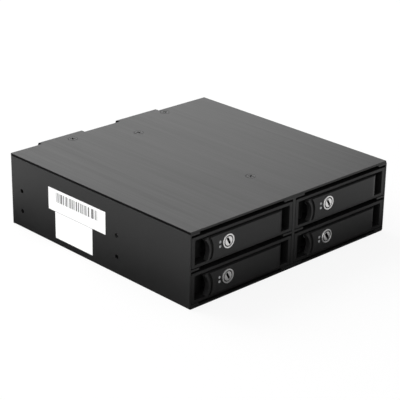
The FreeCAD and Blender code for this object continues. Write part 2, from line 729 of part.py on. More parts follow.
def make_fans():
    """Square fan frames with a motor plate on four struts, and a seven-blade rotor each."""
    frame = Piece("fan_frame_1")
    half = fan_size / 2
    frame.pad("block", "front", 0, fan_thick, rectangle(-half, -half, half, half))
    frame.cut("passage", "front", 0, fan_thick, circle(0, 0, fan_bore))
    strut_front = fan_thick - strut_thick
    strut = rectangle(fan_hub / 2, -strut_width / 2, fan_bore + rotor_gap, strut_width / 2)
    frame.pad("motor_plate", "front", strut_front, strut_thick, circle(0, 0, fan_hub))
    first_strut = frame.pad("strut", "front", strut_front, strut_thick, strut)
    frame.around("struts", first_strut, STRUTS)
    half_pitch = fan_hole_pitch / 2
    corner_places = [(-1, -1), (1, -1), (1, 1), (-1, 1)]
    holes = [circle(x * half_pitch, z * half_pitch, screw_radius) for x, z in corner_places]
    frame.cut("screw_holes", "front", 0, fan_thick, *holes)

    def frame_corner(edge):
        middle = edge.CenterOfMass
        return runs_along(edge, Y_AXIS) and near(abs(middle.x), half) and near(abs(middle.z), half)

    frame.round_edges("corners", fan_corner, frame_corner)
    seat(frame.body, fan_centres[0], fan_front, fan_up)
    seat(copy_piece(frame, "fan_frame_2"), fan_centres[1], fan_front, fan_up)

    rotor = Piece("fan_rotor_1")
    hub_length = strut_front - 2 * rotor_gap
    rotor.pad("hub", "front", rotor_gap, hub_length, circle(0, 0, fan_hub))
    tip = fan_bore - 2 * rotor_gap
    middle = rotor_gap + hub_length / 2
    sections = []
    for place, radius, tilt in (("root", fan_hub / 2, blade_tilt_root), ("tip", tip, blade_tilt_tip)):
        sections.append(blade_section(rotor, place, radius, tilt, middle))
    blade = rotor.body.newObject("PartDesign::AdditiveLoft", "fan_rotor_1_blade")
    blade.Profile = sections[0]
    blade.Sections = [sections[1]]
    blade.Ruled = True
    pattern = rotor.body.newObject("PartDesign::PolarPattern", "fan_rotor_1_blades")
    pattern.Originals = [blade]
    spin_axis = next(item for item in rotor.body.Origin.OriginFeatures if item.Role == "Y_Axis")
    pattern.Axis = (spin_axis, [""])
    pattern.Angle = 360
    pattern.Occurrences = BLADES
    rotor.body.Tip = pattern
    seat(rotor.body, fan_centres[0], fan_front, fan_up)
    seat(copy_piece(rotor, "fan_rotor_2"), fan_centres[1], fan_front, fan_up)


def blade_section(rotor, place, radius, tilt, middle):
    """A tilted bar across the blade, on a plane square to the blade's span."""
    half = blade_chord / 2
    half_thick = blade_thick / 2
    corners = []
    for chord, thick in ((-half, -half_thick), (half, -half_thick), (half, half_thick), (-half, half_thick)):
        y = chord * sine(tilt) - thick * cosine(tilt) + middle
        z = chord * cosine(tilt) + thick * sine(tilt)
        corners.append((y, z))
    return rotor.draw(f"blade_{place}", "side", radius, [polygon(*corners)])


# ---------------------------------------------------------------- backplane

def make_backplane():
    """Circuit board across the bays, with an air window over each drive socket."""
    board = Piece("backplane_board")
    left = sheet_steel + board_side_gap
    right = cage_width - sheet_steel - board_side_gap
    outline = rectangle(left, sheet_steel, right, board_top)
    board.pad("board", "front", board_front, board_thick, outline)
    windows = []
    for column, row in bays():
        x, z = tray_corner(column, row)
        low = z + socket_up + socket_height + board_window_gap
        high = z + bezel_height - board_window_top
        windows.append(rectangle(x + socket_across, low, x + socket_across + socket_width, high))
    board.cut("air_windows", "front", board_front, board_thick, *windows)
    holes = [circle(x, lug_hole_up, screw_radius) for x in board_lugs]
    board.cut("screw_holes", "front", board_front, board_thick, *holes)
    board.seat()

    socket = Piece("drive_socket_1")
    body = rectangle(0, 0, socket_width, socket_height)
    socket.pad("shroud", "front", 0, socket_length, body)
    gap = (socket_width - data_slot - power_slot) / 3
    low = (socket_height - slot_height) / 2
    slots = [rectangle(gap, low, gap + data_slot, low + slot_height),
             rectangle(2 * gap + data_slot, low, socket_width - gap, low + slot_height)]
    socket.cut("contact_slots", "front", 0, slot_depth, *slots)
    for number, (column, row) in enumerate(bays(), start=1):
        body = socket.body if number == 1 else copy_piece(socket, f"drive_socket_{number}")
        x, z = tray_corner(column, row)
        seat(body, x + socket_across, socket_front, z + socket_up)

    port = rear_connector("data_port_1", port_width, port_height)
    for number, (column, row) in enumerate(bays(), start=1):
        body = port.body if number == 1 else copy_piece(port, f"data_port_{number}")
        seat(body, port_across + column * port_pitch - port_width / 2, board_back,
             port_low + row * row_pitch - port_height / 2)
    inlet = rear_connector("power_inlet_1", inlet_width, inlet_height)
    for row in range(2):
        body = inlet.body if row == 0 else copy_piece(inlet, "power_inlet_2")
        seat(body, inlet_across - inlet_width / 2, board_back,
             inlet_low + row * inlet_pitch - inlet_height / 2)


def rear_connector(name, width, height):
    """A shroud open to the rear, with a contact tongue in its middle."""
    connector = Piece(name)
    wall = connector_wall
    connector.pad("block", "front", 0, port_length, rectangle(0, 0, width, height))
    cavity = rectangle(wall, wall, width - wall, height - wall)
    connector.cut("cavity", "front", port_length - slot_depth, slot_depth, cavity)
    half = tongue_thick / 2
    if width.value < height.value:
        tongue = rectangle(width / 2 - half, 2 * wall, width / 2 + half, height - 2 * wall)
    else:
        tongue = rectangle(2 * wall, height / 2 - half, width - 2 * wall, height / 2 + half)
    connector.pad("tongue", "front", port_length - slot_depth, slot_depth - wall, tongue)
    return connector


# ---------------------------------------------------------------- trays

def bays():
    """Column and row of bays 1 to 4: top left, top right, bottom left, bottom right."""
    return [(0, 1), (1, 1), (0, 0), (1, 0)]


def tray_corner(column, row):
    """Lower left corner of a tray's bezel."""
    across = sheet_steel + tray_side_gap + column * bay_pitch
    up = sheet_steel + rail_thick + tray_gap_below + row * row_pitch
    return across, up


def make_bezel():
    """Moulded front with a deep recess for the lever, vents, cam slot and pin holes."""
    bezel = Piece("tray_1_bezel")
    right = bezel_width - bezel_rim_side
    top = bezel_height - bezel_rim_flat
    pocket_end = bezel_rim_side + finger_pocket
    bezel.pad("block", "front", 0, bezel_depth, rectangle(0, 0, bezel_width, bezel_height))
    bezel.cut(
        "finger_pocket", "front", 0, finger_depth,
        rectangle(bezel_rim_side, bezel_rim_flat, pocket_end, top))
    bezel.cut(
        "lever_recess", "front", 0, recess_depth,
        rectangle(pocket_end, bezel_rim_flat, right, top))
    low = bezel_rim_flat + vent_margin
    vent = bezel.cut(
        "vent", "front", recess_depth, bezel_back,
        rectangle(0, low, vent_width, top - vent_margin), across=vent_first)
    bezel.along("vents", vent, vent_pitch, VENTS)
    half_slot = shaft_radius + cam_gap
    slot_left = lock_across - shaft_radius - cam_swing
    slot_right = lock_across + cam_reach + cam_gap
    half_lens = lens_radius + fit_gap
    half_pipe = pipe_width / 2 + fit_gap
    light_holes = []
    for up in (lens_low, lens_low + lens_pitch):
        light_holes.append(rectangle(
            lens_across - half_pipe, up - half_lens, lens_across + half_pipe, up + half_lens))
    bezel.cut(
        "cam_slot", "front", recess_depth, bezel_back,
        rectangle(slot_left, lock_up - half_slot, slot_right, lock_up + half_slot))
    bezel.cut("light_holes", "front", recess_depth, bezel_back, *light_holes)
    bezel.cut(
        "pin_holes", "top", pin_inset, bezel_height - 2 * pin_inset,
        circle(pin_across, pin_behind, pin_radius))
    pegs = [circle(x, peg_up, peg_radius) for x in ear_middles()]
    bezel.pad("pegs", "front", bezel_depth, peg_length, *pegs)

    def outer_corner(edge):
        middle = edge.CenterOfMass
        at_side = near(middle.x, 0, bezel_width)
        return runs_along(edge, Y_AXIS) and at_side and near(middle.z, 0, bezel_height)

    bezel.round_edges("corners", bezel_corner, outer_corner)
    return bezel


def ear_middles():
    left = ear_inset + ear_width / 2
    return [left, bezel_width - left]


def make_carriage():
    """Sheet tray: raised edge strips run on the rails, a dropped floor lies between them."""
    carriage = Piece("tray_1_carriage")
    wide = bezel_width
    inner = runner_width + tray_sheet
    floor_low = runner_low - tray_sheet
    section = polygon(
        (0, runner_low), (runner_width, runner_low), (runner_width, floor_low),
        (wide - runner_width, floor_low), (wide - runner_width, runner_low), (wide, runner_low),
        (wide, runner_top), (wide - inner, runner_top), (wide - inner, runner_low),
        (inner, runner_low), (inner, runner_top), (0, runner_top))
    length = carriage_end - bezel_depth
    carriage.pad("section", "front", bezel_depth, length, section)
    ears = []
    for middle in ear_middles():
        ears.append(rectangle(
            middle - ear_width / 2, runner_low, middle + ear_width / 2, ear_height))
    carriage.pad("ears", "front", bezel_depth, tray_sheet, *ears)
    holes = [circle(x, peg_up, peg_radius) for x in ear_middles()]
    carriage.cut("peg_holes", "front", bezel_depth, tray_sheet, *holes)
    edge = drive_side_gap + drive_hole_edge
    rear = drive_end - drive_hole_rear
    drive_holes = []
    for across in (edge, wide - edge):
        for deep in (rear - drive_hole_pitch, rear):
            drive_holes.append(circle(across, deep, screw_hole_radius))
    carriage.cut("drive_screw_holes", "top", runner_low, tray_sheet, *drive_holes)
    window_left = inner + window_margin + pipe_width
    window_right = wide - inner - window_margin
    first = bezel_depth + window_margin
    last = carriage_end - window_margin
    middle = (first + last) / 2
    carriage.cut(
        "air_windows", "top", floor_low, tray_sheet,
        rectangle(window_left, first, window_right, middle - window_bar / 2),
        rectangle(window_left, middle + window_bar / 2, window_right, last))
    return carriage


def make_lever():
    """Moulded bar with a finger scoop at its left and a knuckle round the pin at its right."""
    lever = Piece("tray_1_lever")
    nose = pin_behind + lever_proud
    profile = polygon(
        (scoop_across, -lever_proud),
        (pin_across, -lever_proud),
        (pin_across + nose, pin_behind, pin_across, pin_behind, 1),
        (pin_across + knuckle_half, pin_behind + knuckle_back),
        (pin_across - knuckle_half, pin_behind + knuckle_back),
        (pin_across - knuckle_root, lever_back),
        (scoop_across, lever_back))
    lever.pad("bar", "top", lever_low, lever_height, profile)
    lever.cut(
        "scoop", "front", -lever_proud, lever_thick,
        circle(scoop_across, scoop_up, scoop_radius))
    groove_inner = scoop_radius + lip_width
    lever.cut(
        "groove", "front", -lever_proud, groove_depth,
        circle(scoop_across, scoop_up, groove_inner),
        circle(scoop_across, scoop_up, groove_inner + groove_width))
    shell_left = lock_across + lock_radius + shell_gap
    shell_right = pin_across - knuckle_root - shell_wall
    lever.cut(
        "hollow_back", "front", lever_back - (lever_thick - shell_wall), lever_thick - shell_wall,
        rectangle(shell_left, lever_low + shell_wall,
                  shell_right, bezel_height - lever_low - shell_wall))
    lever.cut(
        "lock_hole", "front", -lever_proud, lever_thick,
        circle(lock_across, lock_up, lock_radius + fit_gap))
    lens_holes = [circle(lens_across, up, lens_radius) for up in (lens_low, lens_low + lens_pitch)]
    lever.cut("lens_holes", "front", -lever_proud, lever_thick, *lens_holes)
    lever.cut(
        "pin_hole", "top", lever_low, lever_height,
        circle(pin_across, pin_behind, pin_radius + fit_gap))
    return lever


def make_pin():
    pin = Piece("tray_1_hinge_pin")
    length = bezel_height - 2 * pin_inset
    pin.pad("rod", "top", pin_inset, length, circle(pin_across, pin_behind, pin_radius))
    return pin


def make_lock():
    """Lock cylinder with a slanted keyway and a shaft, and the cam behind the back wall."""
    cylinder = Piece("tray_1_lock_cylinder")
    front = -(lever_proud + lock_proud)
    cylinder.pad(
        "barrel", "front", front, lock_behind - front, circle(lock_across, lock_up, lock_radius))
    cylinder.pad(
        "shaft", "front", lock_behind, cam_front - lock_behind,
        circle(lock_across, lock_up, shaft_radius))
    half_width = keyway_width / 2
    half_length = keyway_length / 2 - half_width
    slot = polygon(
        (half_width, -half_length, 0, -half_length, 1),
        (half_width, half_length),
        (-half_width, half_length, 0, half_length, 1),
        (-half_width, -half_length))
    keyway = cylinder.cut(
        "keyway", "front", front, keyway_depth, slot, across=lock_across, up=lock_up)
    sketch = keyway.Profile[0]
    sketch.AttachmentOffset = FreeCAD.Placement(
        sketch.AttachmentOffset.Base, FreeCAD.Rotation(Z_AXIS, 1))
    bind(sketch, "AttachmentOffset.Rotation.Angle", keyway_tilt)

    cam = Piece("tray_1_lock_cam")
    left = lock_across - shaft_radius
    right = lock_across + cam_reach - shaft_radius
    high = lock_up + shaft_radius
    low = lock_up - shaft_radius
    arm = polygon(
        (lock_across, low, lock_across, lock_up, 1),
        (right, low),
        (right, high, right, lock_up, 1),
        (lock_across, high))
    cam.pad("arm", "front", cam_front, cam_thick, arm)
    return cylinder, cam


def make_lights():
    """Two lenses in the lever, and the light pipe that brings light from the backplane."""
    lenses = Piece("tray_1_lever_lenses")
    ups = (lens_low, lens_low + lens_pitch)
    lenses.pad(
        "lenses", "front", -lever_proud, lever_thick,
        *[circle(lens_across, up, lens_radius) for up in ups])
    pipe = Piece("tray_1_light_pipe")
    front = lever_back + pipe_gap
    leg = bezel_depth + cam_gap
    leg_back = leg + pipe_leg
    upper = lens_low + lens_pitch
    profile = polygon(
        (leg, runner_low), (carriage_end, runner_low), (carriage_end, runner_low + pipe_thick),
        (leg_back, runner_low + pipe_thick), (leg_back, upper + lens_radius),
        (front, upper + lens_radius), (front, upper - lens_radius), (leg, upper - lens_radius),
        (leg, lens_low + lens_radius), (front, lens_low + lens_radius),
        (front, lens_low - lens_radius), (leg, lens_low - lens_radius))
    pipe.pad("strip", "side", lens_across - pipe_width / 2, pipe_width, profile)
    return lenses, pipe


def make_trays():
    """The first tray's pieces, then copies of them in the other three bays."""
    masters = [make_bezel(), make_carriage(), make_lever(), make_pin()]
    masters += make_lock()
    masters += make_lights()
    for number, (column, row) in enumerate(bays(), start=1):
        across, up = tray_corner(column, row)
        for master in masters:
            own_name = master.name.replace("tray_1", f"tray_{number}")
            body = master.body if number == 1 else copy_piece(master, own_name)
            seat(body, across, 0, up)


# ---------------------------------------------------------------- screws

def make_screws():
    cover_set = []
    for number, (x, y) in enumerate(cover_screw_places(), start=1):
        length = cover_thick + min_thread(number)
        cover_set.append(screw(f"cover_screw_{number}", 0, "flat", length, x, y, cage_height))
    screw_group("cover_screws", cover_set)
    fan_set = []
    half_pitch = fan_hole_pitch / 2
    head_face = rear_face + pan_head_height
    for fan, centre in enumerate(fan_centres, start=1):
        for corner, (x, z) in enumerate(((-1, -1), (1, -1), (1, 1), (-1, 1)), start=1):
            fan_set.append(screw(
                f"fan_{fan}_screw_{corner}", -1, "pan",
                pan_head_height + sheet_steel + fan_screw_bite,
                centre + x * half_pitch, head_face, fan_up + z * half_pitch))
    screw_group("fan_screws", fan_set)
    panel_set = []
    for number, x in enumerate(rear_lugs, start=1):
        length = pan_head_height + 2 * sheet_steel
        panel_set.append(screw(
            f"rear_panel_screw_{number}", -1, "pan", length, x, head_face, lug_hole_up))
    screw_group("rear_panel_screws", panel_set)
    board_set = []
    board_face = board_front - pan_head_height
    for number, x in enumerate(board_lugs, start=1):
        length = pan_head_height + board_thick + sheet_steel
        board_set.append(screw(
            f"board_screw_{number}", 1, "pan", length, x, board_face, lug_hole_up))
    screw_group("board_screws", board_set)


def min_thread(number):
    """The rear pair holds in the panel's flange, the middle pair in the divider."""
    return sheet_steel if number <= 2 else rail_thick


# ---------------------------------------------------------------- build and write

def check_model():
    for thing in doc.Objects:
        state = " ".join(thing.State)
        if "Invalid" in state or "Error" in state:
            raise RuntimeError(f"{thing.Label} failed: {state}")
        if thing.TypeId == "Sketcher::SketchObject" and not thing.FullyConstrained:
            raise RuntimeError(f"{thing.Label} is not fully constrained")
        if thing.TypeId in ("PartDesign::Pocket", "PartDesign::Groove"):
            if thing.Shape.Volume >= thing.BaseFeature.Shape.Volume - 1e-6:
                raise RuntimeError(f"{thing.Label} cuts nothing")
    for name, thing in pieces.items():
        if thing.Shape.isNull() or not thing.Shape.isValid() or not thing.Shape.Solids:
            raise RuntimeError(f"{name} has no valid shape")


def write_parts():
    os.makedirs("parts", exist_ok=True)
    for name, thing in pieces.items():
        solids = thing.Shape.Solids
        shape = solids[0] if len(solids) == 1 else Part.makeCompound(solids)
        shape.exportStep(f"parts/{name}.step")
        print(f"{name}: {len(solids)} solid(s), {shape.Volume:.1f} mm3")


make_base()
make_cover()
make_guides()
make_rear_panel()
make_fans()
make_backplane()
make_trays()
make_screws()
doc.recompute()
check_model()
write_parts()
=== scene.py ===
# %% [markdown]
# # A hot swap drive cage
# Four trays for small drives sit in a folded steel cage with a brushed aluminium cover.
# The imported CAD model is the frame: it says how large every piece is and what it rides on.
# This lesson adds what CAD leaves out: soft edges, finishes, screw heads, contacts, labels,
# a camera and a small studio. All lengths are metres, and the floor is at height zero.

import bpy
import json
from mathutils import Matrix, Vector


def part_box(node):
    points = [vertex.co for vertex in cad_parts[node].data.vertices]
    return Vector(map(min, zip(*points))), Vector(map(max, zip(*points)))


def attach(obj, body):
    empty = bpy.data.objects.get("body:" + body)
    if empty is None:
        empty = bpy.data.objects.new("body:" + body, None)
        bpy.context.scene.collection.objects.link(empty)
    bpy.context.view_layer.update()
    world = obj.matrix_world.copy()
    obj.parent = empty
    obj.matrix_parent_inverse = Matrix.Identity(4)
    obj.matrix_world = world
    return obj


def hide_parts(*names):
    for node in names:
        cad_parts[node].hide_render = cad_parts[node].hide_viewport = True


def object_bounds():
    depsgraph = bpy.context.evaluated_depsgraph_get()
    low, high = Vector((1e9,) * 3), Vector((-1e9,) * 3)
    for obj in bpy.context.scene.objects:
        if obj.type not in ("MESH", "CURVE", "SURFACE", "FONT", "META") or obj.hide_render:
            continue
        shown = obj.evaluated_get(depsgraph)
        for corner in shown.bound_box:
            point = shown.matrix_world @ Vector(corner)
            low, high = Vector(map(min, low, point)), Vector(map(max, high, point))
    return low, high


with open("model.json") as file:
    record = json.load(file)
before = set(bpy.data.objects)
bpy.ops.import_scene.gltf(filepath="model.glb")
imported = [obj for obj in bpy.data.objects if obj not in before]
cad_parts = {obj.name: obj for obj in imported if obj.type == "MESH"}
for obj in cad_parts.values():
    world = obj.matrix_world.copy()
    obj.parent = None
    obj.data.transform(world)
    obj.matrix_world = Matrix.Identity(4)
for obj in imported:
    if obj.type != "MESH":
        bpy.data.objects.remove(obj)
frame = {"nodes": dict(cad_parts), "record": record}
cad_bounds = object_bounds()
print("CAD nodes:", len(frame["nodes"]))

# %% [markdown]
# ## Units and look-up tables
# CAD works in millimetres and Blender in metres, so one name, MM, turns a size of the real
# object into metres. The record of the CAD model says which body each node belongs to and
# which finish it has. Both are kept as tables, so that no name has to be typed twice.

# %% Modules, units and tables
import json
import math

import bmesh
import bpy
from mathutils import Matrix, Vector

MM = 0.001
nodes = frame["nodes"]
body_of = {}
for body, members in frame["record"]["behaviour"]["bodies"].items():
    for member in members:
        body_of[member] = body
slot_of = {row["node"]: row["material_slot"] for row in frame["record"]["subparts"]}
tray_numbers = (1, 2, 3, 4)
print("bodies:", len(set(body_of.values())))

# %% [markdown]
# ## Where the eye is
# A flat box says most about itself from above one front corner, and from far enough away that
# its sides hardly converge, for which a long lens is used. The camera could be moved about by
# hand, but four numbers say the same more clearly: how far round it stands, how far up, how
# far away, and how much it is rolled. Two small slides then put the cage in the middle.

# %% Place the camera
around = math.radians(-43.8)
above = math.radians(22.59)
roll = math.radians(0.9)
distance = 796.0 * MM
aim = Vector((0.0, 12.5 * MM, 20.0 * MM))
slide_right = 10.47 * MM
slide_up = -7.66 * MM

back = Vector((
    math.sin(around) * math.cos(above),
    -math.cos(around) * math.cos(above),
    math.sin(above)))
level = Vector((math.cos(around), math.sin(around), 0.0))
upright = back.cross(level)
right = level * math.cos(roll) + upright * math.sin(roll)
up = upright * math.cos(roll) - level * math.sin(roll)
camera_data = bpy.data.cameras.new("camera")
lens_length = 129.24
sensor_width = 36.0
camera_data.lens = lens_length
camera_data.sensor_width = sensor_width
camera = bpy.data.objects.new("camera", camera_data)
eye = aim + back * distance + right * slide_right + up * slide_up
camera_turn = Matrix((right, up, back)).transposed().to_4x4()
camera.matrix_world = Matrix.Translation(eye) @ camera_turn
bpy.context.scene.collection.objects.link(camera)
bpy.context.scene.camera = camera
print("camera:", round(distance, 3), "m away,", round(eye.z, 3), "m up")

# %% [markdown]
# ## Arithmetic with sockets
# A finish is a small sum: a base colour, so much wear, a little noise. Node trees make such
# sums hard to read, so one small class wraps a socket and lets Python's own operators add
# the Math nodes. Every other node comes from one method of the tree.

# %% A socket that can be added and multiplied
class Wire:
    """An output socket that takes part in arithmetic."""

    def __init__(self, tree, socket):
        self.tree = tree
        self.socket = socket

    def math(self, operation, *values):
        """A Math node on values, which are wires or numbers."""
        inputs = dict(enumerate(values))
        return self.tree.node("ShaderNodeMath", {"operation": operation}, inputs)["Value"]

    def __add__(self, other):
        return self.math("ADD", self, other)

    def __radd__(self, other):
        return self.math("ADD", other, self)

    def __sub__(self, other):
        return self.math("SUBTRACT", self, other)

    def __rsub__(self, other):
        return self.math("SUBTRACT", other, self)

    def __mul__(self, other):
        return self.math("MULTIPLY", self, other)

    def __rmul__(self, other):
        return self.math("MULTIPLY", other, self)

    def at_least(self, low):
        """The value, but never under low."""
        return self.math("MAXIMUM", self, low)

    def clamp(self, low=0.0, high=1.0):
        """The value, but never under low or over high."""
        return self.math("MINIMUM", self.at_least(low), high)

    def size(self):
        """The value without its sign."""
        return self.math("ABSOLUTE", self)

    def root(self):
        """The square root, for distances."""
        return self.math("SQRT", self)

    def ramp(self, start, end):
        """0 below start, 1 above end, straight between them."""
        return ((self - start) * (1.0 / (end - start))).clamp()


print("operators of a wire: +, -, * and their reflected forms")

# %% [markdown]
# ## One method for every other node
# Some nodes have several sockets of one name, of which only one is in use, and others are
# easier to reach by number. A small search finds the right one either way. The tree's only
# method for making nodes takes the kind, then its settings, then what goes into its sockets.
# Three short helpers build on it, for the nodes that the finishes need most.

# %% The tree that makes every node
def find_socket(sockets, key):
    """A socket by its number, or by the name of one that is in use."""
    if isinstance(key, int):
        return sockets[key]
    return next(s for s in sockets if s.name == key and not s.is_unavailable)


class Made:
    """A made node, whose outputs are read by name as Wires."""

    def __init__(self, tree, node):
        self.tree = tree
        self.node = node

    def __getitem__(self, name):
        return Wire(self.tree, find_socket(self.node.outputs, name))


class Tree:
    """One node tree, of a material, the world or a geometry modifier."""

    def __init__(self, tree):
        self.tree = tree

    def node(self, kind, settings=None, inputs=None):
        """A node of a kind, with its settings first and then its values and links."""
        node = self.tree.nodes.new(kind)
        for name, value in (settings or {}).items():
            setattr(node, name, value)
        for key, value in (inputs or {}).items():
            socket = find_socket(node.inputs, key)
            wires = value if isinstance(value, list) else [value]
            if isinstance(wires[0], Wire):
                for wire in wires:
                    self.tree.links.new(wire.socket, socket)
            else:
                socket.default_value = value
        return Made(self, node)

    def agreement(self, first, second):
        """1 where two directions are the same, 0 where they are square, -1 where opposite."""
        settings = {"operation": "DOT_PRODUCT"}
        return self.node("ShaderNodeVectorMath", settings, {0: first, 1: second})["Value"]

    def parts(self, vector):
        """The X, Y and Z of a vector, each read by its name."""
        return self.node("ShaderNodeSeparateXYZ", {}, {"Vector": vector})

    def mix(self, factor, first, second):
        """A colour between two colours."""
        settings = {"data_type": "RGBA"}
        inputs = {"Factor": factor, "A": first, "B": second}
        return self.node("ShaderNodeMix", settings, inputs)["Result"]


print("made: Wire, Made and Tree")

# %% [markdown]
# ## The room around the cage
# A room in a studio is pale above and on the side of the lamps, and darker elsewhere. One
# dot product of the direction looked in with the bright side gives that. An image of a room
# would do it too, but is a file to carry along. To the camera and through clear plastic the
# world is plain white, and a tenth of that white is added to what the metal mirrors.

# %% World
world = bpy.data.worlds.new("studio")
bpy.context.scene.world = world
world.use_nodes = True
world.node_tree.nodes.clear()
sky = Tree(world.node_tree)
rays = sky.node("ShaderNodeLightPath")
white_in_mirrors = 0.1
mirrored = rays["Is Glossy Ray"] * white_in_mirrors
seen = rays["Is Camera Ray"] + rays["Is Transmission Ray"] + mirrored
direction = sky.node("ShaderNodeTexCoord")["Generated"]
bright_side = (-0.35, 0.7, 0.6)
dark_level = 0.2
bright_level = 0.8
dark_until = -0.4
bright_from = 0.9
brightness = sky.agreement(direction, bright_side).ramp(dark_until, bright_from)
studio_level = dark_level + brightness * (bright_level - dark_level)
seen = seen.clamp()
level_seen = seen + (1.0 - seen) * studio_level
white = (1.0, 1.0, 1.0, 1.0)
surround = sky.node("ShaderNodeBackground", {}, {"Color": white, "Strength": level_seen})
sky.node("ShaderNodeOutputWorld", {}, {"Surface": surround["Background"]})
bpy.context.scene.view_settings.view_transform = "Standard"
print("world level:", dark_level, "to", bright_level)

# %% [markdown]
# ## The paper floor
# The cage stands on a sheet of pale paper that runs on past everything the camera sees. A
# studio would sweep the paper up behind the object to hide its far edge. Here the world is as
# white as the paper, so no edge shows, and one flat square is enough.

# %% Floor
floor_reach = 6.0
floor_mesh = bpy.data.meshes.new("floor")
floor_sides = ((-1, -1), (1, -1), (1, 1), (-1, 1))
floor_corners = [(x * floor_reach, y * floor_reach, 0.0) for x, y in floor_sides]
floor_mesh.from_pydata(floor_corners, [], [(0, 1, 2, 3)])
floor = bpy.data.objects.new("floor", floor_mesh)
bpy.context.scene.collection.objects.link(floor)
print("floor:", 2 * floor_reach, "m square")

# %% [markdown]
# ## What the paper shows
# Seen by the camera the paper glows nearly white, and about an eighth of what shows is its
# real shading, so the cage keeps its soft shadow. What the walls mirror is the paper close
# by, and there the paper carries a painted shade: in mirrors it is painted dark at the foot of
# the walls and turns white a few centimetres out, like paper in the cage's own shade. A dark
# card laid beside a black product does the same in a real studio. More lamps could make the
# paper white too, but would turn the black cage grey.

# %% Paper
floor_paint = bpy.data.materials.new("floor_paper")
floor_paint.use_nodes = True
floor_paint.node_tree.nodes.clear()
paper = Tree(floor_paint.node_tree)
rays = paper.node("ShaderNodeLightPath")
paper_colour = (0.85, 0.85, 0.85, 1.0)
matt = paper.node("ShaderNodeBsdfDiffuse", {}, {"Color": paper_colour})["BSDF"]
cage_corner = cad_bounds[1]
spot = paper.parts(paper.node("ShaderNodeTexCoord")["Object"])
beside = (spot["X"].size() - cage_corner.x).at_least(0.0)
before = (spot["Y"].size() - cage_corner.y).at_least(0.0)
away = (beside * beside + before * before).root()
shade_level = 0.03
open_level = 0.95
shade_start = 12 * MM
shade_end = 62 * MM
# painted shade: seen in mirrors, the paper is painted dark close to the cage and white farther out
painted_shade_level = shade_level + away.ramp(shade_start, shade_end) * (open_level - shade_level)
glow_share = 0.88
seen_straight = (rays["Is Camera Ray"] + rays["Is Transmission Ray"]) * glow_share
shown = seen_straight + rays["Is Glossy Ray"]
strength = 1.0 - rays["Is Glossy Ray"] * (1.0 - painted_shade_level)
glow = paper.node("ShaderNodeEmission", {}, {"Color": white, "Strength": strength})["Emission"]
blend = paper.node("ShaderNodeMixShader", {}, {0: shown.clamp(), 1: matt, 2: glow})["Shader"]
paper.node("ShaderNodeOutputMaterial", {}, {"Surface": blend})
floor_mesh.materials.append(floor_paint)
print("paper: shade ends", round(shade_end / MM), "mm out, at level", open_level)

# %% [markdown]
# ## The lamps
# A black product on white is hard to light: too much light from the front makes it grey. So
# the main lamp is a big soft box behind and above the cage, which draws the brushing of the
# cover and leaves the fronts dark. A weaker one fills the left wall, and a small one lifts
# the rear. Big soft boxes give soft edges to shadows, where a point lamp would cut them hard.

# %% Lamps
def soft_box(name, place, size, watts):
    """A square area lamp that points at the cage."""
    data = bpy.data.lights.new(name, "AREA")
    data.shape = "SQUARE"
    data.size = size
    data.energy = watts
    lamp = bpy.data.objects.new(name, data)
    lamp.location = place
    towards = Vector((0.0, 0.0, 20 * MM)) - Vector(place)
    lamp.rotation_euler = towards.to_track_quat("-Z", "Y").to_euler()
    bpy.context.scene.collection.objects.link(lamp)
    print(name, watts, "W,", size, "m square")


soft_box("key_light", place=(-0.2, 1.0, 0.9), size=1.0, watts=17.0)
soft_box("fill_light", place=(-1.0, -0.4, 0.8), size=0.8, watts=5.0)
soft_box("rear_light", place=(0.64, 0.75, 0.4), size=0.6, watts=1.5)
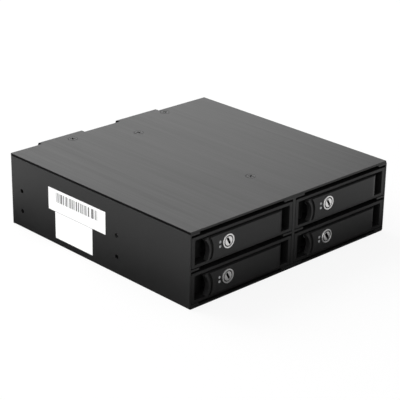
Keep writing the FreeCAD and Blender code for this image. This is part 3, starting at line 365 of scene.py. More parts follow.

# %% [markdown]
# ## What every finish shares
# Each finish is a principled surface with a little disorder, made of noise in metres on
# Object coordinates, so that a grain has the size of the real one on every piece. Corners of
# real sheet and mouldings are lighter with wear: a Bevel node rounds the normal near an
# edge, and where it differs from the true normal there is wear. On the mouldings this lighter
# edge is strong enough to be a painted highlight as well. Painting wear by hand would
# look better on one piece, but this finds every edge of all of them.

# %% The parts that every finish shares
class Finish(Tree):
    """A material with a principled surface and the masks that finishes share."""

    def __init__(self, name):
        self.material = bpy.data.materials.new(name)
        self.material.use_nodes = True
        super().__init__(self.material.node_tree)
        self.tree.nodes.clear()
        self.place = self.node("ShaderNodeTexCoord")["Object"]

    def noise(self, size, detail=2.0, stretch=(1.0, 1.0, 1.0), shift=(0.0, 0.0, 0.0)):
        """Noise from 0 to 1 with grains of about size metres, longer where stretch is over 1."""
        scale = tuple(1.0 / (size * s) for s in stretch)
        mapping = {"Vector": self.place, "Location": shift, "Scale": scale}
        mapped = self.node("ShaderNodeMapping", {}, mapping)["Vector"]
        inputs = {"Vector": mapped, "Scale": 1.0, "Detail": detail, "Roughness": 0.5}
        return self.node("ShaderNodeTexNoise", {}, inputs)["Fac"]

    def edges(self, radius):
        """1 close to an edge, 0 away from it."""
        rounded = self.node("ShaderNodeBevel", {"samples": 6}, {"Radius": radius})["Normal"]
        true = self.node("ShaderNodeNewGeometry")["Normal"]
        slight_turn = 0.01
        full_turn = 0.2
        return (1.0 - self.agreement(rounded, true)).ramp(slight_turn, full_turn)

    def facing(self, axis):
        """1 on a face that looks along an axis, 0 on one square to it, -1 on one behind."""
        return self.parts(self.node("ShaderNodeTexCoord")["Normal"])[axis]

    def left_wall_box(self, front, rear, low, high):
        """1 inside a box on the left wall, given in metres, and 0 outside it."""
        spot = self.parts(self.place)
        edge = 0.04 * MM
        skin = 0.08 * MM
        wall = cad_bounds[0].x
        inside = (wall + skin - spot["X"]).ramp(0.0, edge)
        for axis, start, end in (("Y", front, rear), ("Z", low, high)):
            after_start = (spot[axis] - start).ramp(0.0, edge)
            before_end = (end - spot[axis]).ramp(0.0, edge)
            inside = inside * after_start * before_end
        return inside

    def bars(self, width):
        """Upright bars of uneven width, which say nothing."""
        along = self.parts(self.place)["Y"] * (1.0 / width)
        inputs = {"W": along, "Scale": 1.0, "Detail": 1.0, "Roughness": 0.6}
        uneven = self.node("ShaderNodeTexNoise", {"noise_dimensions": "1D"}, inputs)["Fac"]
        blank_under = 0.49
        ink_over = 0.53
        return uneven.ramp(blank_under, ink_over)

    def bump(self, height, depth):
        """A normal that shows a height from 0 to 1 as a relief of a depth in metres."""
        inputs = {"Strength": 1.0, "Distance": depth, "Height": height}
        return self.node("ShaderNodeBump", {}, inputs)["Normal"]

    def surface(self, **inputs):
        """Close the tree with a principled surface and return the material."""
        named = {name.replace("_", " "): value for name, value in inputs.items()}
        surface = self.node("ShaderNodeBsdfPrincipled", {}, named)
        self.node("ShaderNodeOutputMaterial", {}, {"Surface": surface["BSDF"]})
        return self.material


def tint(value, warmth=0.0):
    """A grey colour, a little warm or cool."""
    return (value * (1.0 + warmth), value, value * (1.0 - warmth), 1.0)


print("a warm grey:", tint(0.5, 0.1))

# %% [markdown]
# ## Powder coat and paper labels
# The folded cage is sprayed with black powder and baked, which leaves a fine orange peel, a
# third of a millimetre across, and slow changes of gloss. Two white paper labels are stuck on
# the left wall. They could be thin plates, but paper is a tenth of a millimetre thick and
# shows no side, so they are painted in: a box on the wall marks each, and inside it colour,
# gloss and relief change. One carries a row of upright bars of uneven width, which say nothing.

# %% Powder coat of the cage
peel_size = 0.35 * MM
bar_width = 0.9 * MM
paper_white = tint(0.94)
ink = tint(0.03)
paper_roughness = 0.5


def powder_coat(name, value, labels=()):
    """Orange peel paint, with a paper label in each of the labels' boxes on the left wall."""
    finish = Finish(name)
    peel = finish.noise(peel_size)
    patches = finish.noise(28 * MM)
    edge_lightening = finish.edges(0.35 * MM) * (0.35 + patches)
    dark = tint(value * 0.85)
    light = tint(value * 1.15)
    lighter_edge_tint = tint(value * 4.0)
    colour = finish.mix(patches, dark, light)
    colour = finish.mix(edge_lightening * 0.35, colour, lighter_edge_tint)
    satin = 0.44
    roughness = satin + (patches - 0.5) * 0.12 + (peel - 0.5) * 0.1
    relief = peel * 0.25
    for box, bars_box in labels:
        paper = finish.left_wall_box(*box)
        printed = paper_white
        if bars_box:
            bars = finish.left_wall_box(*bars_box) * finish.bars(bar_width)
            printed = finish.mix(bars, paper_white, ink)
        colour = finish.mix(paper, colour, printed)
        roughness = roughness + paper * (paper_roughness - roughness)
        relief = relief * (1.0 - paper) + paper
    return finish.surface(
        Base_Color=colour,
        Roughness=roughness,
        Specular_IOR_Level=0.4,
        Normal=finish.bump(relief, 0.05 * MM))


print("powder coat: peel of", round(peel_size / MM, 2), "mm")

# %% [markdown]
# ## Brushed aluminium
# The cover is a dark anodised plate, brushed from front to rear before it was dyed. Brushing
# leaves fine hairs, broader streaks and faint bands, all very long and thin: three noises
# stretched along Y give them. Anisotropic gloss would give the glint but not the lines. The
# cut front and rear ends of the plate are darker, its left and right sides are painted near
# black as a painted shade of the seam along the walls, and its rounded edge is lighter with wear.

# %% Brushed aluminium of the cover
hair_width = 0.16 * MM
streak_width = 1.1 * MM
band_width = 7 * MM


def brushed_aluminium(name):
    """Dark plate with hairs, streaks and bands that run from front to rear."""
    finish = Finish(name)
    hairs = finish.noise(hair_width, 3.0, stretch=(1.0, 260.0, 1.0))
    streaks = finish.noise(streak_width, 3.0, stretch=(1.0, 60.0, 1.0), shift=(3.0, 1.0, 0.0))
    bands = finish.noise(band_width, 2.0, stretch=(1.0, 18.0, 1.0), shift=(7.0, 5.0, 0.0))
    lines = hairs * 0.3 + streaks * 0.4 + bands * 0.3
    edge_lightening = finish.edges(0.3 * MM)
    valley = tint(0.025)
    crest = tint(0.073)
    lighter_edge_tint = tint(0.2)
    brushed = finish.mix(lines.ramp(0.32, 0.68), valley, crest)
    brushed = finish.mix(edge_lightening * 0.4, brushed, lighter_edge_tint)
    on_top = finish.facing("Z").ramp(0.8, 0.97)
    at_side = finish.facing("X").size().ramp(0.3, 0.8)
    cut_end = tint(0.02)
    # painted shade: the side faces of the plate are painted near black, for the seam between cover
    # and wall
    seam_shade = tint(0.004)
    edge = finish.mix(at_side, cut_end, seam_shade)
    return finish.surface(
        Base_Color=finish.mix(on_top, edge, brushed),
        Metallic=0.15 + (on_top + at_side).clamp() * 0.75,
        Roughness=0.5 - on_top * 0.12 + lines * 0.18,
        Normal=finish.bump(lines, 0.02 * MM))


print("brushing along Y: hairs", round(hair_width / MM, 2), "mm wide")

# %% [markdown]
# ## Moulded plastics
# Bezels, levers, fans and connectors are black plastic from a mould whose steel was spark
# eroded, which prints a fine matt texture, with slow changes of gloss where the melt flowed.
# The texture is 0.2 mm across, too fine to model, so it is bump. One function makes all the
# plastics, which differ only in how dark and how glossy they are.

# %% Moulded plastics
spark_size = 0.22 * MM
spark_depth = 0.008 * MM


def moulded_plastic(name, value, gloss):
    """Black plastic with a fine spark texture, and lighter edges that are partly wear and partly
    painted highlight.
    """
    finish = Finish(name)
    spark = finish.noise(spark_size)
    flow = finish.noise(14 * MM)
    # lighter edges: partly wear, partly a painted highlight along each edge of the moulding
    edge_lightening = finish.edges(0.25 * MM)
    dark = tint(value * 0.9)
    light = tint(value * 1.1)
    lighter_edge_tint = tint(value * 3.5)
    return finish.surface(
        Base_Color=finish.mix(edge_lightening * 0.5, finish.mix(flow, dark, light), lighter_edge_tint),
        Roughness=(1.0 - gloss) + (flow - 0.5) * 0.08 + (spark - 0.5) * 0.12,
        Specular_IOR_Level=0.4,
        Normal=finish.bump(spark, spark_depth))


print("plastics: spark texture of", round(spark_size / MM, 2), "mm")

# %% [markdown]
# ## Bare and plated metals
# The carriages are zinc plated sheet with a faint spangle, the hinge pins are ground steel,
# and the screws are plated black or bright. All are metal with two noises, a grain and slow
# clouds, in colour and gloss. A warmer tint of the same function gives the gilt of contacts.

# %% Bare metals
def plain_metal(name, value, roughness, grain=0.5 * MM, warmth=0.0, stretch=(1.0, 1.0, 1.0)):
    """Metal of an even grey with a grain and slow clouds."""
    finish = Finish(name)
    grainy = finish.noise(grain, 2.0, stretch=stretch)
    clouds = finish.noise(7 * MM)
    dull = tint(value * 0.8, warmth)
    bright = tint(value * 1.15, warmth)
    return finish.surface(
        Base_Color=finish.mix(clouds * 0.6 + grainy * 0.4, dull, bright),
        Metallic=1.0,
        Roughness=roughness + (grainy - 0.5) * 0.12,
        Normal=finish.bump(grainy, 0.004 * MM))


print("metals: grain of 0.3 to 1.2 mm")

# %% [markdown]
# ## Nickel of the locks
# The lock's face is tumbled and nickel plated: bright, but soft in what it mirrors. Its groove
# and keyway get a painted shade: the metal is painted darker with depth below the face, where
# little light gets in. Depth is read from Y, because all four locks look forwards.

# %% Nickel, dark in its groove and keyway
lock_face = cad_bounds[0].y
unshaded_until = 0.3 * MM
dark_from = 0.7 * MM


def lock_nickel(name):
    """Bright plating with a painted shade below the face."""
    finish = Finish(name)
    turned = finish.noise(0.25 * MM, 2.0)
    clouds = finish.noise(2.5 * MM)
    depth = finish.parts(finish.place)["Y"] - lock_face
    # painted shade: the metal is painted dark in the groove and keyway, below the face
    recess_shade = depth.ramp(unshaded_until, dark_from)
    bright = finish.mix(clouds, tint(0.88, 0.01), tint(0.99, 0.005))
    recess_shade_colour = tint(0.02)
    return finish.surface(
        Base_Color=finish.mix(recess_shade, bright, recess_shade_colour),
        Metallic=1.0,
        Roughness=0.4 + (turned - 0.5) * 0.2 + recess_shade * 0.2,
        Normal=finish.bump(turned, 0.02 * MM))


print("lock face at y", round(lock_face / MM, 2), "mm")

# %% [markdown]
# ## Clear plastic
# Lenses and light pipes are milky acrylic. It could be made with real transmission, but the
# lenses are 1.5 mm across and have black plastic behind them, so a pale grey under a smooth
# coat looks the same and renders in a fraction of the time.

# %% Clear plastic of the light pipes and lenses
def clear_plastic(name, value):
    """Pale, smooth and lightly coated, with a slow ripple."""
    finish = Finish(name)
    ripple = finish.noise(1.5 * MM)
    dark = tint(value * 0.85, -0.02)
    light = tint(value * 1.1, -0.02)
    return finish.surface(
        Base_Color=finish.mix(ripple, dark, light),
        Roughness=0.12 + ripple * 0.1,
        Coat_Weight=0.3 + ripple * 0.2)


print("clear plastic: coat weight 0.3 to 0.5")

# %% [markdown]
# ## Solder mask
# The backplane is woven glass under a green lacquer. A Brick texture a millimetre across
# stands for the weave, which shows as a faint relief through the gloss of the lacquer.

# %% Solder mask of the circuit board
weave_scale = 900.0
deep_green = (0.008, 0.05, 0.022, 1.0)
light_green = (0.014, 0.085, 0.036, 1.0)


def solder_mask(name):
    """Green lacquer over a faint weave."""
    finish = Finish(name)
    weave = finish.node("ShaderNodeTexBrick", {}, {
        "Vector": finish.place, "Scale": weave_scale, "Mortar Size": 0.06,
        "Color1": (1, 1, 1, 1), "Color2": (0.8, 0.8, 0.8, 1), "Mortar": (0.5, 0.5, 0.5, 1)})["Fac"]
    patches = finish.noise(6 * MM)
    return finish.surface(
        Base_Color=finish.mix(patches * 0.7 + weave * 0.2, deep_green, light_green),
        Roughness=0.3 + patches * 0.1,
        Coat_Weight=0.2 + patches * 0.1,
        Normal=finish.bump(patches + weave * 0.3, 0.01 * MM))


# %% [markdown]
# ## A finish for each slot
# The record gives every piece a slot, the name of what it is made of. Each slot gets one
# finish, and every CAD node is painted through its slot, so pieces of one material match.
# Black is never zero: paint and plastic still return about one percent of the light.

# %% One material for each slot of the record
coat_black = 0.012
materials = {
    "cage_steel": powder_coat("powder_coat", value=coat_black),
    "cover_aluminium": brushed_aluminium("brushed_aluminium"),
    "tray_plastic": moulded_plastic("tray_plastic", value=0.009, gloss=0.5),
    "lever_plastic": moulded_plastic("lever_plastic", value=0.012, gloss=0.52),
    "tray_steel": plain_metal("zinc_sheet", value=0.5, roughness=0.38, grain=1.2 * MM),
    "pin_steel": plain_metal(
        "ground_steel", value=0.55, roughness=0.25, stretch=(1.0, 1.0, 0.1)),
    "lock_chrome": lock_nickel("nickel"),
    "light_plastic": clear_plastic("clear_plastic", value=0.4),
    "black_screws": plain_metal("black_zinc", value=0.05, roughness=0.42),
    "zinc_screws": plain_metal("bright_zinc", value=0.6, roughness=0.3),
    "circuit_board": solder_mask("solder_mask"),
    "connector_plastic": moulded_plastic("connector_plastic", value=0.012, gloss=0.55),
    "fan_plastic": moulded_plastic("fan_plastic", value=0.011, gloss=0.5),
}
for name, obj in nodes.items():
    obj.data.materials.clear()
    obj.data.materials.append(materials[slot_of[name]])
print("finishes:", len(materials))

# %% [markdown]
# ## Where the labels are
# Each label is given by its front, rear, low and high edge on the left wall. The upper one is
# long and carries the bars, and the lower one is bare. Only the chassis has this finish.

# %% Paint the chassis with its labels
long_label = (-9.5 * MM, 37.5 * MM, 19.3 * MM, 32.0 * MM)
long_bars = (-3.0 * MM, 31.0 * MM, 25.0 * MM, 30.4 * MM)
small_label = (1.2 * MM, 32.0 * MM, 4.0 * MM, 19.2 * MM)
wall_labels = ((small_label, None), (long_label, long_bars))
labelled = powder_coat("powder_coat_with_labels", value=coat_black, labels=wall_labels)
nodes["chassis_base"].data.materials[0] = labelled
print("long label:", round((long_label[1] - long_label[0]) / MM, 1), "mm")

# %% [markdown]
# ## Soft edges
# No sheet or moulding has a knife edge, and the bright line along a rounded edge is much of
# what makes a black object readable. A CAD node is loose triangles, which can't be rounded.
# So its mesh is copied, its doubles are merged, and triangles that lie in one plane are
# joined again. The node's own mesh stays as it is.

# %% Copy and merge
SHARP = math.radians(30)
FLAT = math.radians(0.4)
DOUBLE = 0.002 * MM


def merged_copy(name):
    """The mesh of a CAD node with its triangles joined into flat faces."""
    mesh = nodes[name].data.copy()
    mesh.name = f"{name}_shape"
    work = bmesh.new()
    work.from_mesh(mesh)
    bmesh.ops.remove_doubles(work, verts=work.verts, dist=DOUBLE)
    bmesh.ops.dissolve_limit(work, angle_limit=FLAT, verts=work.verts, edges=work.edges)
    work.to_mesh(mesh)
    work.free()
    return mesh


print("edges over", round(math.degrees(SHARP)), "degrees count as sharp")

# %% [markdown]
# ## Rounding with modifiers
# A Bevel modifier rounds every edge that is sharper than the limit, and Weighted Normal keeps
# the large faces flat, so that light runs only along the rounded edges. Cutting the bevels by
# hand would give the same, but would have to be done for every piece. The result is baked to
# a plain mesh, because a piece has to be finished before it rides on a body.

# %% Round and bake
def bake_modifiers(piece):
    """Turn the modifiers of an object into a plain mesh."""
    graph = bpy.context.evaluated_depsgraph_get()
    plain = bpy.data.meshes.new_from_object(piece.evaluated_get(graph))
    piece.modifiers.clear()
    piece.data = plain
    return piece


def round_edges(piece, radius, segments=2):
    """Add the two modifiers that round every sharp edge of a piece."""
    bevel = piece.modifiers.new("rounding", "BEVEL")
    bevel.width = radius
    bevel.segments = segments
    bevel.limit_method = "ANGLE"
    bevel.angle_limit = SHARP
    flats = piece.modifiers.new("flat_faces", "WEIGHTED_NORMAL")
    flats.keep_sharp = True


print("helpers: bake_modifiers, round_edges")

# %% [markdown]
# ## Standing for a CAD node
# A dressed copy has to move as its node does, take the node's finish, and hide the node, which
# goes on working for collision. The finish comes with the copied mesh, and two calls do the rest.
# A lock also has a shape cut out of it before its edges are rounded, so the same helper takes
# one, and the others leave it out.

# %% Dress a CAD node
def stand_for(piece, name):
    """The piece rides with the node's body and is shown in place of a CAD node."""
    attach(piece, body_of[name])
    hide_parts(name)
    return piece


def dress(name, radius, segments=2, cut=None):
    """A copy of a CAD node with rounded edges, less the shape of cut, if it is given."""
    mesh = merged_copy(name)
    mesh.shade_smooth()
    piece = bpy.data.objects.new(f"{name}_dressed", mesh)
    bpy.context.scene.collection.objects.link(piece)
    if cut is not None:
        groove = piece.modifiers.new("groove", "BOOLEAN")
        groove.object = cut
    round_edges(piece, radius, segments)
    return stand_for(bake_modifiers(piece), name)


print("helpers: stand_for, dress")

# %% [markdown]
# ## How round each piece is
# Folded sheet has a radius of a tenth of a millimetre or two where it was cut, mouldings
# have a quarter, and the levers, which fingers touch, a little more. Small hidden pieces
# keep their CAD shape, because nobody would see the difference.

# %% Dress every piece that shows, with a radius in millimetres
edge_radius = {
    "chassis_base": 0.15, "rear_panel": 0.15, "guide_rails_left": 0.15, "guide_rails_right": 0.15,
    "centre_divider": 0.15, "top_cover": 0.25, "backplane_board": 0.1}
for number in tray_numbers:
    edge_radius[f"tray_{number}_bezel"] = 0.25
    edge_radius[f"tray_{number}_lever"] = 0.3
    edge_radius[f"tray_{number}_carriage"] = 0.12
    edge_radius[f"drive_socket_{number}"] = 0.15
    edge_radius[f"data_port_{number}"] = 0.15
    edge_radius[f"tray_{number}_lever_lenses"] = 0.12
for number in (1, 2):
    edge_radius[f"power_inlet_{number}"] = 0.15
    edge_radius[f"fan_frame_{number}"] = 0.25
    edge_radius[f"fan_rotor_{number}"] = 0.15
dressed = {name: dress(name, radius * MM) for name, radius in edge_radius.items()}
faces = sum(len(piece.data.polygons) for piece in dressed.values())
print("dressed pieces:", len(dressed), "faces:", faces)

# %% [markdown]
# ## Locks
# Each lever carries a small nickel-plated cylinder lock. A ring groove parts its collar from
# the plug that turns, and the plug has a slanted keyway. The groove could be painted dark, but
# then its rims would catch no light. It is cut instead: an outline is turned once round the
# lock's own line, as on a lathe, and the ring that this makes is taken out by a Boolean.

# %% Turn a ring
collar_width = 0.75 * MM
groove_width = 0.6 * MM
groove_depth = 0.9 * MM
lock_rounding = 0.27 * MM


def turned_ring(centre, front, outer, inner, depth, steps=48):
    """A ring of square section whose line runs along Y through centre (x, z)."""
    work = bmesh.new()
    loops = []
    for step in range(steps):
        angle = 2 * math.pi * step / steps
        across = math.cos(angle)
        rise = math.sin(angle)
        outline = (
            (outer, front - depth), (outer, front + depth),
            (inner, front + depth), (inner, front - depth))
        corners = [(centre[0] + r * across, y, centre[1] + r * rise) for r, y in outline]
        loops.append([work.verts.new(corner) for corner in corners])
    for one, two in zip(loops, loops[1:] + loops[:1]):
        for corner in range(4):
            following = (corner + 1) % 4
            work.faces.new((one[corner], two[corner], two[following], one[following]))
    bmesh.ops.recalc_face_normals(work, faces=work.faces)
    mesh = bpy.data.meshes.new("groove_ring")
    work.to_mesh(mesh)
    work.free()
    ring = bpy.data.objects.new("groove_ring", mesh)
    bpy.context.scene.collection.objects.link(ring)
    return ring


print("groove:", round(groove_width / MM, 2), "mm wide")

# %% [markdown]
# ## Four locks
# The ring is made anew at the front of each lock, from the lock's own box, and removed once it
# has been cut. The cut comes before the edges are rounded, so that each rim gets its own
# bright line, with three segments, because these are the brightest edges on the cage.

# %% Cut the ring from each lock
for number in tray_numbers:
    name = f"tray_{number}_lock_cylinder"
    low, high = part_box(name)
    radius = (high.x - low.x) / 2
    centre = ((low.x + high.x) / 2, (low.z + high.z) / 2)
    outer = radius - collar_width
    ring = turned_ring(centre, low.y, outer, outer - groove_width, groove_depth)
    dressed[name] = dress(name, lock_rounding, segments=3, cut=ring)
    bpy.data.objects.remove(ring)
    print(name, "radius", round(radius / MM, 2), "mm")

# %% [markdown]
# ## Recipes of Geometry Nodes
# What repeats is best described once. A Geometry Nodes tree is such a description: its
# inputs are sizes with names, and it is run on a mesh whose points say where things go.
# The result is made plain before it rides on a body, so nothing has to be worked out later.

# %% A recipe with named inputs
SOCKETS = {
    "geometry": "NodeSocketGeometry", "length": "NodeSocketFloat", "count": "NodeSocketInt",
    "vector": "NodeSocketVector", "material": "NodeSocketMaterial"}


class Recipe(Tree):
    """A Geometry Nodes tree that is run on a mesh of points."""

    def __init__(self, name, **kinds):
        super().__init__(bpy.data.node_groups.new(name, "GeometryNodeTree"))
        self.keys = {}
        interface = self.tree.interface
        for label, kind in {"points": "geometry", **kinds, "finish": "material"}.items():
            made = interface.new_socket(label, in_out="INPUT", socket_type=SOCKETS[kind])
            self.keys[label] = made.identifier
        interface.new_socket("made", in_out="OUTPUT", socket_type=SOCKETS["geometry"])
        self.given = self.node("NodeGroupInput")

    def close(self, geometry):
        """Instances become real and get their finish."""
        real = self.node("GeometryNodeRealizeInstances", {}, {"Geometry": geometry})["Geometry"]
        inputs = {"Geometry": real, "Material": self.given["finish"]}
        painted = self.node("GeometryNodeSetMaterial", {}, inputs)
        self.node("NodeGroupOutput", {}, {"made": painted["Geometry"]})

    def run(self, name, places, finish, **values):
        """A plain mesh object made by the recipe at the places."""
        mesh = bpy.data.meshes.new(name)
        mesh.from_pydata(places, [], [])
        piece = bpy.data.objects.new(name, mesh)
        bpy.context.scene.collection.objects.link(piece)
        recipe = piece.modifiers.new("recipe", "NODES")
        recipe.node_group = self.tree
        for label, value in {**values, "finish": finish}.items():
            recipe[self.keys[label]] = value
        return bake_modifiers(piece)


print("kinds of input:", ", ".join(SOCKETS))

# %% [markdown]
# ## Screws
# Seventeen screws hold the cage together, and all have the same cross recess. Modelled one by
# one they would be seventeen objects to keep alike. The recipe has one input for each size of
# a screw, so the flat heads of the cover and the pan heads of the rest come from one tree.

# %% Inputs and helpers of the screw recipe
screw_recipe = Recipe(
    "screw", face_radius="length", foot_radius="length", head_height="length",
    shank_radius="length", screw_length="length", recess_length="length",
    recess_width="length", recess_depth="length", facing="vector", seed="count")
given = screw_recipe.given


def lowered(geometry, depth):
    """The geometry moved down by a depth."""
    down = screw_recipe.node("ShaderNodeCombineXYZ", {}, {"Z": 0.0 - depth})["Vector"]
    inputs = {"Geometry": geometry, "Translation": down}
    return screw_recipe.node("GeometryNodeTransform", {}, inputs)["Geometry"]


def combined(operation, first, *others):
    """A Boolean of solids: the first one with the others, or without them."""
    settings = {"operation": operation, "solver": "EXACT"}
    inputs = {1: [first, *others]} if operation == "UNION" else {0: first, 1: list(others)}
    return screw_recipe.node("GeometryNodeMeshBoolean", settings, inputs)["Mesh"]


print("inputs of a screw:", len(screw_recipe.keys))

# %% [markdown]
# ## One screw
# A screw is a tapered head on a shank. The two are joined by a Boolean, and two crossing bars
# are then taken out of the head, so the recess is a real hollow with dark walls and not a
# drawn cross. The screw is made with the top of its head at height zero, looking up.

# %% Head, shank and cross recess
head = screw_recipe.node("GeometryNodeMeshCone", {}, {
    "Vertices": 32, "Radius Top": given["face_radius"], "Radius Bottom": given["foot_radius"],
    "Depth": given["head_height"]})["Mesh"]
shank = screw_recipe.node("GeometryNodeMeshCone", {}, {
    "Vertices": 24, "Radius Top": given["shank_radius"], "Radius Bottom": given["shank_radius"],
    "Depth": given["screw_length"] - given["head_height"] * 0.5})["Mesh"]
head_in_place = lowered(head, given["head_height"])
shank_in_place = lowered(shank, given["screw_length"])
solid = combined("UNION", head_in_place, shank_in_place)
bars = []
for long_way, short_way in (("X", "Y"), ("Y", "X")):
    bar = screw_recipe.node("ShaderNodeCombineXYZ", {}, {
        long_way: given["recess_length"], short_way: given["recess_width"],
        "Z": given["recess_depth"] * 2.0})["Vector"]
    bars.append(screw_recipe.node("GeometryNodeMeshCube", {}, {"Size": bar})["Mesh"])
one_screw = combined("DIFFERENCE", solid, *bars)
print("bars of the cross:", len(bars))

# %% [markdown]
# ## Many screws
# On a real cage the crosses stop at any angle, and equal ones look false. So each copy is
# turned by its own amount, up to a right angle, after which a cross looks the same again. The
# turns are drawn with a fixed seed, so they are the same each time the script runs.

# %% Turn each screw and set it in its place
upright_way = screw_recipe.node("FunctionNodeEulerToRotation", {}, {"Euler": given["facing"]})
spin = screw_recipe.node(
    "FunctionNodeRandomValue", {"data_type": "FLOAT"},
    {"Min": 0.0, "Max": math.pi / 2, "Seed": given["seed"]})["Value"]
screwed_in = screw_recipe.node(
    "FunctionNodeAxisAngleToRotation", {}, {"Axis": (0, 0, 1), "Angle": spin})
pose = screw_recipe.node(
    "FunctionNodeRotateRotation", {"rotation_space": "LOCAL"},
    {"Rotation": upright_way["Rotation"], "Rotate By": screwed_in["Rotation"]})["Rotation"]
screws = screw_recipe.node("GeometryNodeInstanceOnPoints", {}, {
    "Points": given["points"], "Instance": one_screw, "Rotation": pose})["Instances"]
screw_recipe.close(screws)
print("nodes in the screw recipe:", len(screw_recipe.tree.nodes))

# %% [markdown]
# ## Where the screws go
# The CAD nodes of screws say where each one is, how wide its head is and how long it is, so
# nothing is typed in again. A node holds several screws as loose triangles. Merging the
# doubles and walking from vertex to vertex parts them, and each box gives a place.

# %% The box of each separate screw
def solids_of(name):
    """The box of each separate solid of a CAD node."""
    work = bmesh.new()
    work.from_mesh(nodes[name].data)
    bmesh.ops.remove_doubles(work, verts=work.verts, dist=DOUBLE)
    left = set(work.verts)
    boxes = []
    while left:
        found = [left.pop()]
        for vert in found:
            for edge in vert.link_edges:
                other = edge.other_vert(vert)
                if other in left:
                    left.remove(other)
                    found.append(other)
        low = Vector([min(v.co[axis] for v in found) for axis in range(3)])
        high = Vector([max(v.co[axis] for v in found) for axis in range(3)])
        boxes.append((low, high))
    work.free()
    return sorted(boxes, key=lambda box: tuple(box[0]))


print("cover screws:", len(solids_of("cover_screws")))

# %% [markdown]
# ## Setting the screws
# The heads are those of small machine screws: flat ones sink into the cover, and pan heads
# stand proud of the rear panel, the fans and the board. An axis and a sign say which way a
# set of heads looks. Each set stands for its CAD node and moves with the same body.

# %% Set the screws
shank_radius = 1.4 * MM
flat_head = 1.2 * MM
pan_head = 1.5 * MM
flat_face_share = 0.88
pan_face_share = 0.86
cross_length = 3.1 * MM
cross_width = 0.62 * MM
cross_depth = 0.8 * MM


def screw_set(name, axis, sign, flat, seed):
    """Screws whose heads face along an axis, in place of those of a CAD node."""
    boxes = solids_of(name)
    first_low, first_high = boxes[0]
    head_radius = (first_high[0] - first_low[0]) / 2
    places = []
    for low, high in boxes:
        place = (low + high) / 2
        place[axis] = high[axis] if sign > 0 else low[axis]
        places.append(place)
    facing = (0.0, 0.0, 0.0) if axis == 2 else (-sign * math.pi / 2, 0.0, 0.0)
    piece = screw_recipe.run(
        f"{name}_cross", places, materials[slot_of[name]],
        face_radius=head_radius * (flat_face_share if flat else pan_face_share),
        foot_radius=shank_radius if flat else head_radius,
        head_height=flat_head if flat else pan_head, shank_radius=shank_radius,
        screw_length=first_high[axis] - first_low[axis], recess_length=cross_length,
        recess_width=cross_width, recess_depth=cross_depth, facing=facing, seed=seed)
    piece.data.shade_smooth()
    piece.data.set_sharp_from_angle(angle=SHARP)
    print(name, len(places), "screws, head", round(2 * head_radius / MM, 2), "mm")
    stand_for(piece, name)


screw_set("cover_screws", axis=2, sign=1, flat=True, seed=11)
screw_set("fan_screws", axis=1, sign=1, flat=False, seed=12)
screw_set("rear_panel_screws", axis=1, sign=1, flat=False, seed=13)
screw_set("board_screws", axis=1, sign=-1, flat=False, seed=14)

# %% [markdown]
# ## Contacts
# The connector of such a drive has 7 contacts for data and 15 for power, 1.27 mm apart. One
# recipe lays a row of small bars from each starting point, and is run once for each kind of
# row. Modelling one bar and an Array modifier would do for one row, but not for many.

# %% The row recipe
row_recipe = Recipe("contact_row", bars="count", step="vector", bar="vector")
given = row_recipe.given
bar = row_recipe.node("GeometryNodeMeshCube", {}, {"Size": given["bar"]})["Mesh"]
line = row_recipe.node(
    "GeometryNodeMeshLine", {}, {"Count": given["bars"], "Offset": given["step"]})["Mesh"]
one_row = row_recipe.node(
    "GeometryNodeInstanceOnPoints", {}, {"Points": line, "Instance": bar})["Instances"]
rows = row_recipe.node(
    "GeometryNodeInstanceOnPoints", {}, {"Points": given["points"], "Instance": one_row})
row_recipe.close(rows["Instances"])
print("nodes in the row recipe:", len(row_recipe.tree.nodes))

# %% [markdown]
# ## Gilt bars
# Contacts are plated with a very thin layer of gold over nickel, which is the plain metal
# from above in a warmer tint. All rows sit on the board, so they ride on the board's body.

# %% Gilt, and one call for each kind of row
gilt = plain_metal("gilt", 0.6, 0.25, grain=0.3 * MM, warmth=0.3)
pitch = 1.27 * MM


def contact_rows(name, starts, count, step, bar):
    """Rows of contacts that ride with the backplane."""
    piece = row_recipe.run(name, starts, gilt, bars=count, step=step, bar=bar)
    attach(piece, body_of["backplane_board"])
    print(name, len(starts), "rows of", count)


print("contact pitch:", round(pitch / MM, 2), "mm")

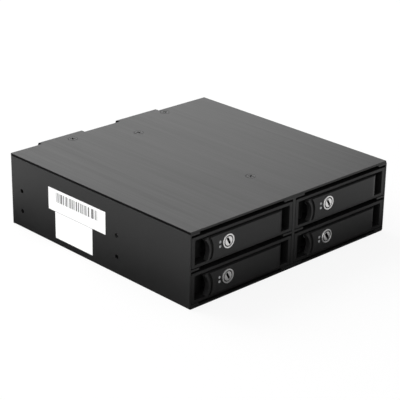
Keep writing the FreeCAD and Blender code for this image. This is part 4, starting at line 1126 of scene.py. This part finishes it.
# %% [markdown]
# ## Contacts of the sockets
# In each drive socket thin springs line the slots above and below, where the edge of a
# drive's plug slides in. Their places come from the socket's own box: a short slot at the
# left for data and a long one at the right for power, with even walls between them.

# %% Contacts in the drive sockets
data_count = 7
power_count = 15
data_reach = (data_count - 1) / 2 * pitch
power_reach = (power_count - 1) / 2 * pitch
slot_half = 0.95 * MM
spring = (0.5 * MM, 4.0 * MM, 0.3 * MM)
spring_middle = 2.6 * MM
spring_sunk = 0.1 * MM
data_slot = 10.6 * MM
power_slot = 20.9 * MM
data_starts = []
power_starts = []
for number in tray_numbers:
    low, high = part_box(f"drive_socket_{number}")
    gap = (high.x - low.x - data_slot - power_slot) / 3
    middle = (low.z + high.z) / 2
    for side in (-1, 1):
        deep = low.y + spring_middle
        rise = middle + side * (slot_half - spring_sunk)
        data_starts.append((low.x + gap + data_slot / 2 - data_reach, deep, rise))
        power_starts.append((high.x - gap - power_slot / 2 - power_reach, deep, rise))
contact_rows("socket_data_contacts", data_starts, data_count, (pitch, 0, 0), spring)
contact_rows("socket_power_contacts", power_starts, power_count, (pitch, 0, 0), spring)

# %% [markdown]
# ## Contacts of the rear connectors
# A port at the rear is the other half of such a pair: a shroud round a tongue, with its
# contacts flat on one side of the tongue. The data ports stand upright, and the power inlets
# lie flat, so one row steps upwards and the other across.

# %% Contacts on the tongues of the ports and inlets
tongue_half = 0.6 * MM
from_mouth = 3.2 * MM
port_bar = (0.2 * MM, 3.6 * MM, 0.6 * MM)
inlet_bar = (0.6 * MM, 3.6 * MM, 0.2 * MM)
ports = []
inlets = []
for number in tray_numbers:
    low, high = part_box(f"data_port_{number}")
    middle = (low + high) / 2
    ports.append((middle.x - tongue_half, high.y - from_mouth, middle.z - data_reach))
for number in (1, 2):
    low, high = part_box(f"power_inlet_{number}")
    middle = (low + high) / 2
    inlets.append((middle.x - power_reach, high.y - from_mouth, middle.z + tongue_half))
contact_rows("port_contacts", ports, data_count, (0, 0, pitch), port_bar)
contact_rows("inlet_contacts", inlets, power_count, (pitch, 0, 0), inlet_bar)
